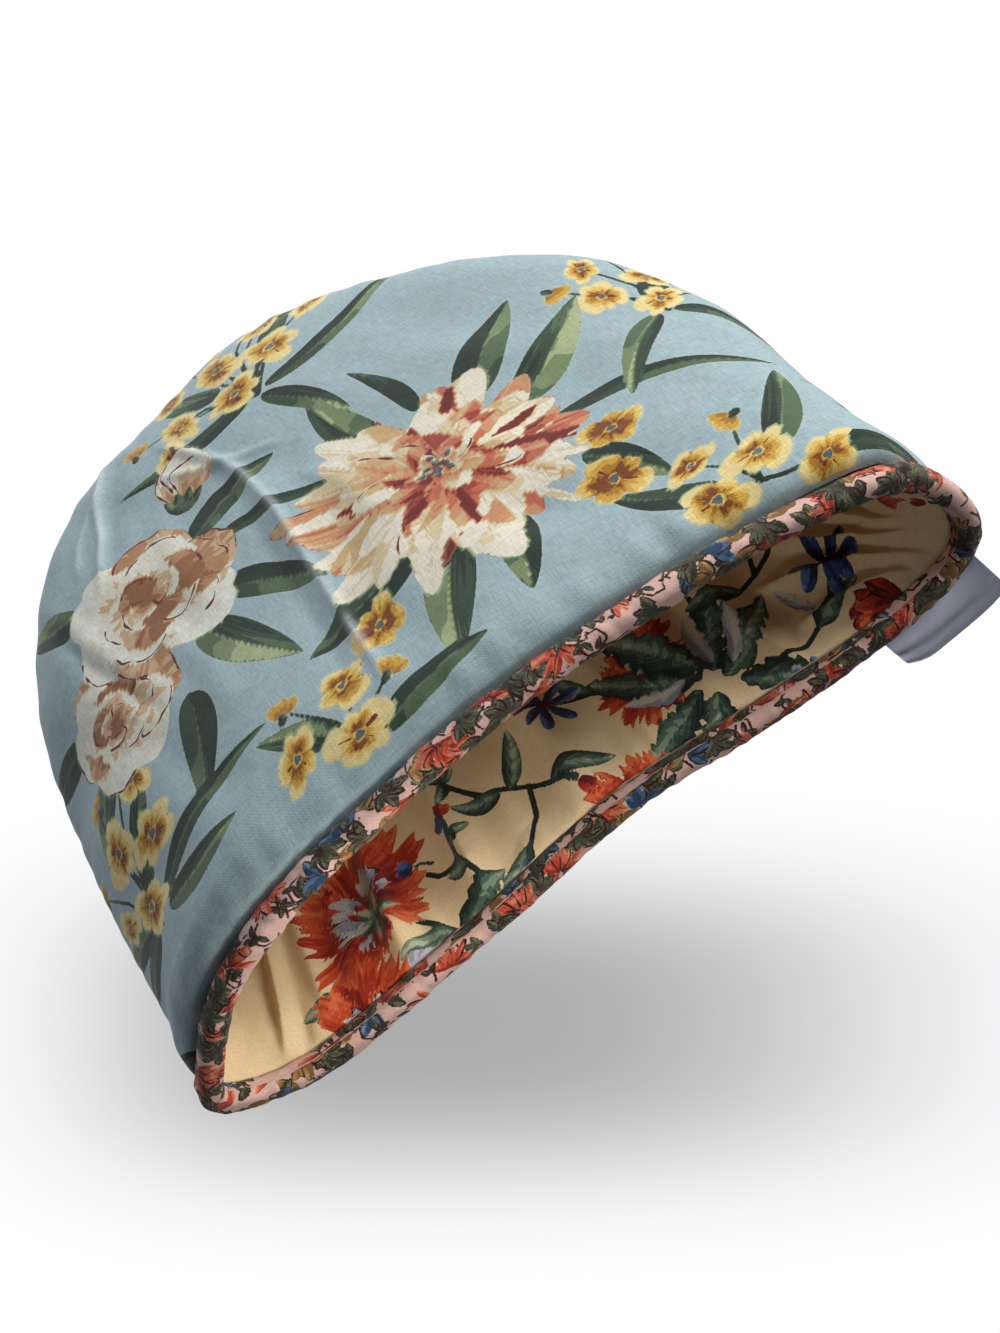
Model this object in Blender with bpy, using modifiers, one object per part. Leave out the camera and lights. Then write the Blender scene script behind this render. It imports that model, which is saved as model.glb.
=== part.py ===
"""Padded dome tea cosy standing on its bound hem.

Two wadded half-oval panels of printed cotton meet in a seam that runs from one end of the hem,
over the top, to the other end. Each panel has a cotton lining, one rolled bias binding goes
round the whole hem, and a bare satin label tab is caught under it beside the right end.

World axes: +X along the hem towards the label, -Y out of the front panel, +Z up. The hem stands
on z = 0, and the origin is on the floor under the middle of the object's box.
"""

import math
from typing import NamedTuple

import bmesh
import bpy
from mathutils import Vector

MM = 0.001

# Every size below is in millimetres. The origin's place in the hem's own drawing:
ORIGIN_X = 1.6
ORIGIN_Y = -10.4

# Centre line of the binding seen from above: from the left end along the front to the right
# end, then back along the rear. It is as uneven as a handled cosy's hem.
HEM_LOOP = (
    (-157.5, 2.0), (-150.0, -16.0), (-128.0, -43.0), (-92.0, -61.0),
    (-40.0, -69.0), (12.0, -72.0), (60.0, -66.0), (112.0, -54.5),
    (147.0, -37.0), (161.5, 6.0), (155.0, 20.0), (130.0, 25.0),
    (72.0, 22.5), (8.0, 16.5), (-66.0, 24.5), (-138.0, 22.5),
)
RIGHT_END = 9
LOOP_STEPS = 24

# Rolled binding: its cross-section, out from the centre line and up from the floor.
BINDING_HALF_WIDTH = 5.3
BINDING_HEIGHT = 11.0
BINDING_STATIONS = 84
BINDING_SECTION = (
    (3.2, 0.0), (4.7, 1.2), (BINDING_HALF_WIDTH, 4.2), (BINDING_HALF_WIDTH, 7.2),
    (4.4, 9.8), (2.6, BINDING_HEIGHT),
)

# Dome outline in the seam's plane: half lengths at the hem, height, and how square each
# shoulder is. The top leans to the right and to the front.
OUTLINE_LEFT = 165.0
OUTLINE_RIGHT = 168.0
DOME_HEIGHT = 278.0
SHOULDER_LEFT = (5.3, 2.4)
SHOULDER_RIGHT = (2.8, 1.38)
TOP_LEAN_RIGHT = 18.0
TOP_LEAN_FRONT = 24.0
SEAM_SETBACK = 8.0

# How the panels stand off the seam's plane: the hem's bow fades towards the top, the wadding
# rounds over in to the seam, and the cloth rolls under where it meets the binding.
BOW_FADE = (1.7, 1.05)
CAVITY_INSET = 3.0
SEAM_ROUND = 30.0
SEAM_ROUND_POWER = 2.2
HEM_ROLL = 5.5
HEM_ROLL_HEIGHT = 14.0

GAP = 0.3
LINING_GAP = 0.5
WADDING = 9.5
LINING_THICKNESS = 1.2


class Layer(NamedTuple):
    """One face of the cloth: how far in it lies from the outline, and out from the bow."""

    inset: float
    stand_off: float
    rolls: bool = False


OUTER_FACE = Layer(0.0, 12.5, rolls=True)
WADDING_FACE = Layer(WADDING, 2.0)
LINING_BACK = Layer(WADDING + LINING_GAP, WADDING_FACE.stand_off - LINING_GAP)
LINING_FACE = Layer(LINING_BACK.inset + LINING_THICKNESS, LINING_BACK.stand_off - LINING_THICKNESS)


class Fold(NamedTuple):
    """A soft ridge, or trough where height is negative, along a line on a panel."""

    start: tuple
    end: tuple
    width: float
    height: float


FRONT_FOLDS = (
    Fold((-52.0, 232.0), (-27.0, 165.0), 11.0, 2.2),
    Fold((-27.0, 165.0), (-24.0, 50.0), 12.0, 2.0),
    Fold((-38.0, 190.0), (-42.0, 75.0), 12.0, -2.0),
    Fold((-73.0, 251.0), (-91.0, 208.0), 9.0, -2.0),
    Fold((-131.0, 216.0), (-120.0, 178.0), 10.0, -2.2),
    Fold((-108.0, 105.0), (-88.0, 50.0), 11.0, -2.2),
    Fold((40.0, 62.0), (100.0, 40.0), 10.0, -1.4),
)
BACK_FOLDS = (
    Fold((-70.0, 205.0), (-40.0, 90.0), 14.0, -2.0),
    Fold((55.0, 215.0), (35.0, 110.0), 14.0, 1.8),
    Fold((95.0, 120.0), (110.0, 40.0), 12.0, -2.0),
)
FRONT_LINING_FOLDS = (
    Fold((-95.0, 20.0), (-80.0, 150.0), 10.0, 1.8),
    Fold((30.0, 30.0), (20.0, 160.0), 12.0, 1.6),
)
BACK_LINING_FOLDS = (
    Fold((-112.0, 15.0), (-95.0, 130.0), 9.0, 2.2),
    Fold((-45.0, 15.0), (-38.0, 150.0), 11.0, 2.0),
    Fold((18.0, 15.0), (14.0, 140.0), 11.0, 1.8),
    Fold((84.0, 15.0), (72.0, 120.0), 9.0, 2.0),
    Fold((118.0, 12.0), (98.0, 95.0), 8.0, 2.2),
    Fold((142.0, 12.0), (122.0, 90.0), 7.0, 2.2),
)

COLUMNS = 30
ROWS = 20

# Bare label tab: where its root lies along the rear hem, its free length and its lie.
LABEL_ROOT = (0.052, 0.170)
LABEL_LENGTH = 31.0
LABEL_TURN = math.radians(20.0)
LABEL_ROOT_HEIGHT = 7.0
LABEL_DROP = 14.0
LABEL_THICKNESS = 1.0
LABEL_LIFT = 0.3

COLOURS = {
    "outer_front": (0.352, 0.485, 0.546),
    "outer_back": (0.352, 0.485, 0.546),
    "lining_front": (0.775, 0.611, 0.376),
    "lining_back": (0.775, 0.611, 0.376),
    "binding": (0.305, 0.171, 0.127),
    "label": (0.485, 0.515, 0.578),
}
ROUGHNESS = {"label": 0.45}
COTTON_ROUGHNESS = 0.85


def clear_scene():
    """Empty the scene of every object it starts with."""
    for thing in list(bpy.data.objects):
        bpy.data.objects.remove(thing, do_unlink=True)


def new_collection(name):
    """Add a collection to the scene."""
    collection = bpy.data.collections.new(name)
    bpy.context.scene.collection.children.link(collection)
    return collection


def cloth_material(name):
    """Make a piece's own material from its colour and roughness."""
    material = bpy.data.materials.new(name)
    material.use_nodes = True
    shader = material.node_tree.nodes["Principled BSDF"]
    shader.inputs["Base Color"].default_value = (*COLOURS[name], 1.0)
    shader.inputs["Roughness"].default_value = ROUGHNESS.get(name, COTTON_ROUGHNESS)
    shader.inputs["Metallic"].default_value = 0.0
    return material


def to_world(x, y, z):
    """Turn a drawing's millimetres into metres about the origin."""
    return Vector((x - ORIGIN_X, y - ORIGIN_Y, z)) * MM


def spline_point(before, start, end, after, share):
    """Give a point of the centripetal Catmull-Rom curve between start and end."""
    knots = [0.0]
    corners = (before, start, end, after)
    for first, second in zip(corners, corners[1:]):
        knots.append(knots[-1] + math.sqrt((second - first).length))
    at = knots[1] + (knots[2] - knots[1]) * share

    def blend(first, second, low, high):
        return first.lerp(second, (at - low) / (high - low))

    near = blend(before, start, knots[0], knots[1])
    middle = blend(start, end, knots[1], knots[2])
    far = blend(end, after, knots[2], knots[3])
    rising = blend(near, middle, knots[0], knots[2])
    falling = blend(middle, far, knots[1], knots[3])
    return blend(rising, falling, knots[1], knots[2])


def smooth_loop():
    """Round the hem's corners off into one closed curve of short steps."""
    corners = [Vector(corner) for corner in HEM_LOOP]
    count = len(corners)
    points = []
    for index in range(count):
        around = [corners[(index + step) % count] for step in (-1, 0, 1, 2)]
        for step in range(LOOP_STEPS):
            points.append(spline_point(*around, step / LOOP_STEPS))
    return points


def arc_lengths(points):
    """Give the distance along a line of points at each of them."""
    lengths = [0.0]
    for first, second in zip(points, points[1:]):
        lengths.append(lengths[-1] + (second - first).length)
    return lengths


class Route:
    """A line of points that can be read at any share of its length."""

    def __init__(self, points):
        self.points = points
        self.lengths = arc_lengths(points)

    def at(self, share):
        """Give the point at a share from 0 to 1 of the route's length."""
        target = min(max(share, 0.0), 1.0) * self.lengths[-1]
        index = 1
        while index < len(self.lengths) - 1 and self.lengths[index] < target:
            index += 1
        low = self.lengths[index - 1]
        high = self.lengths[index]
        return self.points[index - 1].lerp(self.points[index], (target - low) / (high - low))


def hem_halves(loop):
    """Split the hem into its front and rear routes, both from the left end to the right."""
    turn = RIGHT_END * LOOP_STEPS
    front = loop[: turn + 1]
    rear = (loop[turn:] + loop[:1])[::-1]
    return Route(front), Route(rear)


def eased(share, straight):
    """Space steps evenly in part, and closer towards both ends for the rest."""
    cosine = (1.0 - math.cos(math.pi * share)) / 2.0
    return straight * share + (1.0 - straight) * cosine


def half_disc(across, up):
    """Map a grid's place, across -1 to 1 and up 0 to 1, on to a half disc without a pole."""
    right = across * math.sqrt(1.0 - up * up / 2.0)
    height = up * math.sqrt(1.0 - across * across / 2.0)
    return right, height


def shoulder(rise, powers):
    """Give the outline's half length at a share of the height, as a share of the hem's."""
    return max(0.0, 1.0 - rise ** powers[0]) ** (1.0 / powers[1])


def rounding(share):
    """Rise steeply from the seam and level off, from 0 to 1."""
    rest = 1.0 - min(max(share, 0.0), 1.0)
    return math.sqrt(1.0 - rest ** SEAM_ROUND_POWER)


def fold_height(folds, x, z):
    """Add up the soft ridges and troughs that cross a point of a panel."""
    total = 0.0
    for fold in folds:
        start = Vector(fold.start)
        run = Vector(fold.end) - start
        along = (Vector((x, z)) - start).dot(run) / run.length_squared
        nearest = start + run * min(max(along, 0.0), 1.0)
        distance = (Vector((x, z)) - nearest).length
        total += fold.height * math.exp(-((distance / fold.width) ** 2))
    return total


def panel_point(half, side, layer, folds, across, up):
    """Place one point of a panel's face.

    half is the hem's route on that side, side is -1 for the front and 1 for the rear, and
    across and up are the point's place on the panel's grid.
    """
    right, height = half_disc(across, up)
    share = 0.0
    if height < 1.0:
        share = min(max(right / math.sqrt(1.0 - height * height), -1.0), 1.0)
    hem = half.at((share + 1.0) / 2.0)
    left_end = HEM_LOOP[0]
    right_end = HEM_LOOP[RIGHT_END]
    along = (hem.x - left_end[0]) / (right_end[0] - left_end[0])
    chord = left_end[1] + (right_end[1] - left_end[1]) * along

    floor = BINDING_HEIGHT + GAP
    top = DOME_HEIGHT - layer.inset
    z = floor + (top - floor) * height
    rise = z / top
    roll = 0.0
    if layer.rolls:
        under = max(0.0, 1.0 - (z - floor) / HEM_ROLL_HEIGHT)
        roll = HEM_ROLL * (1.0 - math.sqrt(1.0 - under * under))

    lean = TOP_LEAN_RIGHT * rise * rise
    left_x = lean - (OUTLINE_LEFT - layer.inset) * shoulder(rise, SHOULDER_LEFT) + roll
    right_x = lean + (OUTLINE_RIGHT - layer.inset) * shoulder(rise, SHOULDER_RIGHT) - roll
    x = left_x + (right_x - left_x) * along

    ends = min(1.0, 4.0 * min(along, 1.0 - along))
    bow = max(0.0, abs(hem.y - chord) - CAVITY_INSET * ends)
    bow *= (1.0 - rise ** BOW_FADE[0]) ** (1.0 / BOW_FADE[1])
    from_centre = math.hypot(right, height)
    to_seam = SEAM_ROUND
    if from_centre > 0.0:
        to_seam = math.hypot(x, z) * (1.0 - from_centre) / from_centre
    rounded = rounding(to_seam / SEAM_ROUND)
    seam = chord * (1.0 - rise) - TOP_LEAN_FRONT * rise ** 1.5
    seam += SEAM_SETBACK * (4.0 * rise * (1.0 - rise)) ** 2
    off = bow + (layer.stand_off - roll) * rounded
    off += fold_height(folds, x, z) * rounded * min(1.0, (z - floor) / HEM_ROLL_HEIGHT)
    return to_world(x, seam + side * (off + GAP / 2.0), z)


def face_outward(build):
    """Turn every face of a closed mesh outwards, on a thin shell too."""
    bmesh.ops.recalc_face_normals(build, faces=build.faces[:])
    if build.calc_volume(signed=True) < 0.0:
        bmesh.ops.reverse_faces(build, faces=build.faces[:])


def add_mesh_object(name, mesh, collection):
    """Put a mesh in the scene under a name, with the piece's material."""
    thing = bpy.data.objects.new(name, mesh)
    thing.data.materials.append(cloth_material(name))
    collection.objects.link(thing)
    return thing


def add_shell(name, collection, outside, inside):
    """Loft a closed cloth shell between two faces, each a function of across and up."""
    mesh = bpy.data.meshes.new(name)
    build = bmesh.new()
    bmesh.ops.create_grid(build, x_segments=COLUMNS, y_segments=ROWS, size=1.0)
    spots = {vertex: vertex.co.copy() for vertex in build.verts}
    raised = bmesh.ops.extrude_face_region(build, geom=build.faces[:], use_keep_orig=True)
    far_side = [item for item in raised["geom"] if isinstance(item, bmesh.types.BMVert)]
    for face, vertices in ((outside, list(spots)), (inside, far_side)):
        for vertex in vertices:
            spot = spots.get(vertex, vertex.co)
            turned = 2.0 * eased((spot.x + 1.0) / 2.0, 0.35) - 1.0
            vertex.co = face(turned, eased((spot.y + 1.0) / 2.0, 0.35))
    face_outward(build)
    build.to_mesh(mesh)
    build.free()
    return add_mesh_object(name, mesh, collection)


def add_panel(name, collection, half, side, layers, folds):
    """Add one shell of the cosy from its two layers; the folds lie on the face that shows."""

    def outside(across, up):
        return panel_point(half, side, layers[0], folds[0], across, up)

    def inside(across, up):
        return panel_point(half, side, layers[1], folds[1], across, up)

    return add_shell(name, collection, outside, inside)


def add_binding(collection, helpers, loop):
    """Sweep the rolled binding's section round the hem."""
    section = bpy.data.curves.new("binding_section", "CURVE")
    section.dimensions = "2D"
    outline = section.splines.new("POLY")
    mirrored = [(-out, up) for out, up in BINDING_SECTION]
    corners = mirrored + list(reversed(BINDING_SECTION))
    outline.points.add(len(corners) - 1)
    for point, (out, up) in zip(outline.points, corners):
        point.co = (out * MM, up * MM, 0.0, 1.0)
    outline.use_cyclic_u = True
    section_object = bpy.data.objects.new("binding_section", section)
    section_object.hide_render = True
    section_object.display_type = "WIRE"
    helpers.objects.link(section_object)

    curve = bpy.data.curves.new("binding", "CURVE")
    curve.dimensions = "3D"
    curve.twist_mode = "Z_UP"
    curve.bevel_mode = "OBJECT"
    curve.bevel_object = section_object
    path = curve.splines.new("POLY")
    path.points.add(BINDING_STATIONS - 1)
    route = Route(loop + loop[:1])
    for index, point in enumerate(path.points):
        spot = route.at(index / BINDING_STATIONS)
        point.co = (*to_world(spot.x, spot.y, 0.0), 1.0)
    path.use_cyclic_u = True
    binding = bpy.data.objects.new("binding", curve)
    curve.materials.append(cloth_material("binding"))
    collection.objects.link(binding)
    return binding


def add_label(collection, rear):
    """Add the bare label tab: it leaves the binding's side, drops to the floor and lies flat."""
    mesh = bpy.data.meshes.new("label")
    build = bmesh.new()
    bmesh.ops.create_grid(build, x_segments=6, y_segments=8, size=0.5)
    step = 0.002
    lie = Vector((math.sin(LABEL_TURN), math.cos(LABEL_TURN)))
    for vertex in build.verts:
        across = vertex.co.x + 0.5
        along = vertex.co.y + 0.5
        share = 1.0 - LABEL_ROOT[0] - (LABEL_ROOT[1] - LABEL_ROOT[0]) * (1.0 - across)
        tangent = (rear.at(share + step) - rear.at(share - step)).normalized()
        outward = Vector((-tangent.y, tangent.x))
        root = rear.at(share) + outward * (BINDING_HALF_WIDTH + GAP)
        reach = along * LABEL_LENGTH
        spot = root + lie * reach
        slope = max(0.0, 1.0 - reach / LABEL_DROP)
        z = LABEL_LIFT + LABEL_ROOT_HEIGHT * slope * slope
        vertex.co = to_world(spot.x, spot.y, z)
    bmesh.ops.recalc_face_normals(build, faces=build.faces[:])
    build.to_mesh(mesh)
    build.free()
    label = add_mesh_object("label", mesh, collection)
    thicken = label.modifiers.new("thickness", "SOLIDIFY")
    thicken.thickness = LABEL_THICKNESS * MM
    thicken.offset = 1.0
    return label


def build_cosy():
    """Build every piece of the tea cosy."""
    clear_scene()
    cosy = new_collection("tea_cosy")
    helpers = new_collection("cutters")
    loop = smooth_loop()
    front, rear = hem_halves(loop)
    panel_layers = (OUTER_FACE, WADDING_FACE)
    lining_layers = (LINING_BACK, LINING_FACE)
    add_panel("outer_front", cosy, front, -1, panel_layers, (FRONT_FOLDS, ()))
    add_panel("outer_back", cosy, rear, 1, panel_layers, (BACK_FOLDS, ()))
    inward = [
        tuple(fold._replace(height=-fold.height) for fold in folds)
        for folds in (FRONT_LINING_FOLDS, BACK_LINING_FOLDS)
    ]
    add_panel("lining_front", cosy, front, -1, lining_layers, (inward[0], inward[0]))
    add_panel("lining_back", cosy, rear, 1, lining_layers, (inward[1], inward[1]))
    add_binding(cosy, helpers, loop)
    add_label(cosy, rear)


build_cosy()
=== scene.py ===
"""Dresses the padded tea cosy: printed cotton panels, lining, rolled binding and label tab.

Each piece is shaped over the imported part's own form. The cottons' prints are drawn in code as
ink plates over the flat cloth: every plate holds how deep a spot lies inside each ink's shapes,
and the cloth's material turns these depths into crisp printed edges and brush strokes.
"""

import logging
import math
from dataclasses import dataclass
from enum import Enum
from typing import Callable, Iterable, Sequence

import bpy
import numpy as np
from mathutils import Matrix, Vector


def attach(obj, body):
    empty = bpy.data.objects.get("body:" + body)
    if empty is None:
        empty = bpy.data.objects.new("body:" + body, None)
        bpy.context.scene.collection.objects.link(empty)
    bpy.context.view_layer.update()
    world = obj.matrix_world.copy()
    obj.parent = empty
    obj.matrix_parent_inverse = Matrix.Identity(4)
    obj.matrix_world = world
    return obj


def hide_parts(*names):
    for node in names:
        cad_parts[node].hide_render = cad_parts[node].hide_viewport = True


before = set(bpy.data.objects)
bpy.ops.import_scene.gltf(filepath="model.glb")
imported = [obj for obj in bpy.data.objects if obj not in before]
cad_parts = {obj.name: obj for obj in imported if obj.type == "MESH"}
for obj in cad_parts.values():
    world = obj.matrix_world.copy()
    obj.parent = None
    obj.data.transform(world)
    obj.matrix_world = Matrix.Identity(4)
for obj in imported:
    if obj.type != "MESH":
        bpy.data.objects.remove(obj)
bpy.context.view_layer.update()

MM = 0.001
TOO_FAR = 1e9
TABLE_CELLS = 160
TABLE_TOP = 0.9995
TOP_POINT = 0.99999
SEAM_RADIUS = 170.0
SEAM_SEED = 40
LOG = logging.getLogger("tea_cosy")


class Side(Enum):
    """The two sides of the cosy, and which way each faces along Y."""

    FRONT = -1
    REAR = 1


# ------------------------------------------------------------------------------------- form


@dataclass(frozen=True)
class Layer:
    """One face of the cloth: how far in it lies from the outline, and out from the bow."""

    inset: float
    stand_off: float
    rolls: bool = False


OUTER_FACE = Layer(0.0, 12.5, rolls=True)
WADDING_FACE = Layer(8.0, 3.4)
LINING_BACK = Layer(10.0, 1.5)
LINING_FACE = Layer(11.2, 0.3)


@dataclass(frozen=True)
class Crease:
    """A soft ridge along a line on a panel, or a trough where the height is negative."""

    line: tuple[tuple[float, float], ...]
    width: float
    height: float
    crest: float = 2.0
    soft_end: float = 0.2

    def lift(self, x: np.ndarray, z: np.ndarray) -> np.ndarray:
        """Give the crease's height over points of a panel.

        Args:
            x: Places along the hem, in millimetres.
            z: Heights over the floor, in millimetres.

        Returns:
            The lift at each point, in millimetres.
        """
        nearest = np.full(x.shape, TOO_FAR)
        along = np.zeros(x.shape)
        gone = 0.0
        for start, end in zip(self.line, self.line[1:]):
            run = (end[0] - start[0], end[1] - start[1])
            length = math.hypot(*run)
            share = ((x - start[0]) * run[0] + (z - start[1]) * run[1]) / length ** 2
            share = np.clip(share, 0.0, 1.0)
            away = np.hypot(x - start[0] - run[0] * share, z - start[1] - run[1] * share)
            along = np.where(away < nearest, gone + share * length, along)
            nearest = np.minimum(nearest, away)
            gone += length
        ends = np.clip(np.minimum(along, gone - along) / (self.soft_end * gone), 0.0, 1.0)
        fade = ends * ends * (3.0 - 2.0 * ends)
        return self.height * fade * np.exp(-((nearest / self.width) ** self.crest))


def between(ends: tuple[float, float], share: np.ndarray) -> np.ndarray:
    """Mix two values by shares from 0 to 1."""
    return ends[0] + (ends[1] - ends[0]) * share


def creases(*rows: tuple) -> tuple[Crease, ...]:
    """Make creases from rows.

    Args:
        rows: One crease each: its line's numbers x, z, x, z and so on, then its other values.

    Returns:
        The creases.
    """
    return tuple(Crease(tuple(zip(line[::2], line[1::2])), *rest) for line, *rest in rows)


@dataclass(frozen=True)
class Ripple:
    """An even, seeded ripple made of sine waves, for undulations and gathered edges."""

    wavelength: float
    seed: int
    waves: int = 12

    def at(self, x: np.ndarray, z: np.ndarray | None = None) -> np.ndarray:
        """Read the ripple along a line, or over a surface where z is given.

        Args:
            x: Places in millimetres.
            z: Places across, in millimetres, or None along a line.

        Returns:
            Values with a spread of about one.
        """
        rng = np.random.default_rng(self.seed)
        total = np.zeros_like(x, dtype=float)
        for _ in range(self.waves):
            turn = rng.uniform(0.0, math.pi) if z is not None else 0.0
            rate = 2.0 * math.pi / (self.wavelength * rng.uniform(0.65, 1.7))
            reach = x * math.cos(turn) if z is None else x * math.cos(turn) + z * math.sin(turn)
            total += np.sin(reach * rate + rng.uniform(0.0, 2.0 * math.pi))
        return total / math.sqrt(self.waves / 2.0)


class Route:
    """A line of points that can be read at any share of its length."""

    def __init__(self, points: np.ndarray) -> None:
        """Measure the line.

        Args:
            points: The line's points in order, one row each.
        """
        self.points = points
        steps = np.linalg.norm(np.diff(points, axis=0), axis=1)
        self.lengths = np.concatenate([[0.0], np.cumsum(steps)])

    @property
    def length(self) -> float:
        """The whole length."""
        return float(self.lengths[-1])

    def at(self, share: np.ndarray) -> np.ndarray:
        """Give the points at shares from 0 to 1 of the length.

        Args:
            share: Shares of the length.

        Returns:
            One row of two coordinates for each share.
        """
        reach = np.clip(share, 0.0, 1.0) * self.lengths[-1]
        return np.stack(
            [np.interp(reach, self.lengths, self.points[:, axis]) for axis in (0, 1)], axis=-1
        )


@dataclass(frozen=True)
class CosyForm:
    """The cosy's shape: the bound hem's loop, the dome's outline and how the layers stand off."""

    hem_corners: tuple[tuple[float, float], ...] = (
        (-162.5, 3), (-153, -16), (-128, -43), (-92, -61), (-40, -69), (12, -72), (60, -66),
        (112, -54.5), (149, -37), (164.5, 6), (157, 20), (130, 27), (72, 23), (8, 13.5),
        (-66, 22.5), (-138, 22.5),
    )
    right_end: int = 9
    steps: int = 24
    origin: tuple[float, float] = (1.6, -10.4)
    floor: float = 10.1
    outline: tuple[float, float] = (169.0, 171.0)
    dome_height: float = 278.0
    shoulders: tuple[tuple[float, float], ...] = ((5.3, 2.4), (2.8, 1.38))
    lean_right: float = 18.0
    lean_front: float = 24.0
    lean_power: float = 1.5
    setback: float = 8.0
    bow_fade: tuple[float, float] = (1.7, 1.05)
    cavity_inset: float = 3.0
    end_ease: float = 4.0
    seam_round: float = 30.0
    seam_round_power: float = 2.2
    hem_roll: float = 5.5
    hem_roll_height: float = 14.0
    half_gap: float = 0.15
    flare: tuple[float, float] = (4.5, 22.0)
    uneven: tuple[tuple[float, float], ...] = (
        (-90, 0), (-80, -7.5), (-65, -5.5), (-40, -2.5), (-20, 1), (-12, -0.8), (-6, 1), (-1, 4.5),
        (4, 3), (9, -1), (15.6, -6), (21, -3), (28, -1.5), (35, 2.2), (42, 0), (51, -3.5), (60, -9),
        (66, -12), (77, -12), (90, -1),
    )
    uneven_reach: float = 60.0
    uneven_steps: tuple[float, ...] = (-1.5, 0.0, 1.5)

    def loop(self) -> np.ndarray:
        """Round the hem's corners off into one closed line.

        Returns:
            Points in the hem's own drawing, in millimetres.
        """
        corners = np.array(self.hem_corners)
        count = len(corners)
        points = []
        for index in range(count):
            around = [corners[(index + step) % count] for step in (-1, 0, 1, 2)]
            knots = [0.0]
            for first, second in zip(around, around[1:]):
                knots.append(knots[-1] + math.sqrt(float(np.linalg.norm(second - first))))
            for step in range(self.steps):
                at = knots[1] + (knots[2] - knots[1]) * step / self.steps

                def blend(
                    one: np.ndarray, two: np.ndarray, low: float, high: float, at: float = at
                ) -> np.ndarray:
                    """Mix two points by where the step lies between two knots."""
                    return one + (two - one) * ((at - low) / (high - low))

                near = blend(around[0], around[1], knots[0], knots[1])
                middle = blend(around[1], around[2], knots[1], knots[2])
                far = blend(around[2], around[3], knots[2], knots[3])
                rising = blend(near, middle, knots[0], knots[2])
                falling = blend(middle, far, knots[1], knots[3])
                points.append(blend(rising, falling, knots[1], knots[2]))
        return np.array(points)

    def half(self, side: Side) -> Route:
        """Give the hem's route on one side, from the left end to the right.

        Args:
            side: Which side's half.

        Returns:
            The route, in the hem's own drawing.
        """
        loop = self.loop()
        turn = self.right_end * self.steps
        if side is Side.FRONT:
            return Route(loop[: turn + 1])
        return Route(np.concatenate([loop[turn:], loop[:1]])[::-1])

    def place(
        self, side: Side, layer: Layer, share: np.ndarray, height: np.ndarray,
        relief: Callable[["Spot"], np.ndarray] | None = None,
        pinch: Callable[["Spot"], np.ndarray] | None = None,
    ) -> tuple[np.ndarray, "Spot"]:
        """Place points of one layer of a panel.

        Args:
            side: Front or rear.
            layer: Which face of the cloth.
            share: Place along the hem from -1 to 1.
            height: Place up the dome from 0 to 1.
            relief: Gives extra height off the seam's plane, in millimetres.
            pinch: Gives how far the outline is drawn in, in millimetres.

        Returns:
            Points in the part's frame in millimetres, and the drawing places they stand for.
        """
        hem = self.half(side).at((share + 1.0) / 2.0)
        left = self.hem_corners[0]
        right = self.hem_corners[self.right_end]
        along = (hem[..., 0] - left[0]) / (right[0] - left[0])
        chord = left[1] + (right[1] - left[1]) * along
        top = self.dome_height - layer.inset
        z = self.floor + (top - self.floor) * height
        rise = np.clip(z / top, 0.0, 1.0)
        roll = np.zeros_like(z)
        if layer.rolls:
            under = np.maximum(0.0, 1.0 - (z - self.floor) / self.hem_roll_height)
            roll = self.hem_roll * (1.0 - np.sqrt(1.0 - under * under))
        else:
            low = np.maximum(0.0, 1.0 - (z - self.floor) / self.flare[1])
            roll = -self.flare[0] * low * low
        lean = self.lean_right * rise * rise
        widths = [
            np.maximum(0.0, 1.0 - rise ** powers[0]) ** (1.0 / powers[1])
            for powers in self.shoulders
        ]
        left_x = lean - (self.outline[0] - layer.inset) * widths[0] + roll
        right_x = lean + (self.outline[1] - layer.inset) * widths[1] - roll
        x = left_x + (right_x - left_x) * along
        ends = np.minimum(1.0, self.end_ease * np.minimum(along, 1.0 - along))
        bow = np.maximum(0.0, np.abs(hem[..., 1] - chord) - self.cavity_inset * ends)
        bow = bow * np.maximum(0.0, 1.0 - rise ** self.bow_fade[0]) ** (1.0 / self.bow_fade[1])
        sideways = share * np.sqrt(np.maximum(0.0, 1.0 - height * height))
        middle = np.maximum(np.hypot(sideways, height), 1e-6)
        to_seam = np.maximum(0.0, np.hypot(x, z) * (1.0 - middle) / middle)
        rest = 1.0 - np.clip(to_seam / self.seam_round, 0.0, 1.0)
        rounded = np.sqrt(np.maximum(0.0, 1.0 - rest ** self.seam_round_power))
        seam = chord * (1.0 - rise) - self.lean_front * rise ** self.lean_power
        seam = seam + self.setback * (4.0 * rise * (1.0 - rise)) ** 2
        off = bow + (layer.stand_off - np.maximum(roll, 0.0)) * rounded
        over = np.minimum(1.0, (z - self.floor) / self.hem_roll_height)
        spot = Spot(x, z, to_seam, rounded, over)
        if relief is not None:
            off = off + relief(spot)
        if pinch is not None:
            drawn = pinch(spot) / np.maximum(np.hypot(x, z), 1.0)
            x = x * (1.0 - drawn)
            z = self.floor + (z - self.floor) * (1.0 - drawn)
        y = seam + side.value * (off + self.half_gap)
        moved = self.bulge(x, z) * np.exp(-((to_seam / self.uneven_reach) ** 2))
        x = x * (1.0 + moved)
        z = self.floor + (z - self.floor) * (1.0 + moved)
        points = np.stack([x - self.origin[0], y - self.origin[1], z], axis=-1)
        return points, spot

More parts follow.
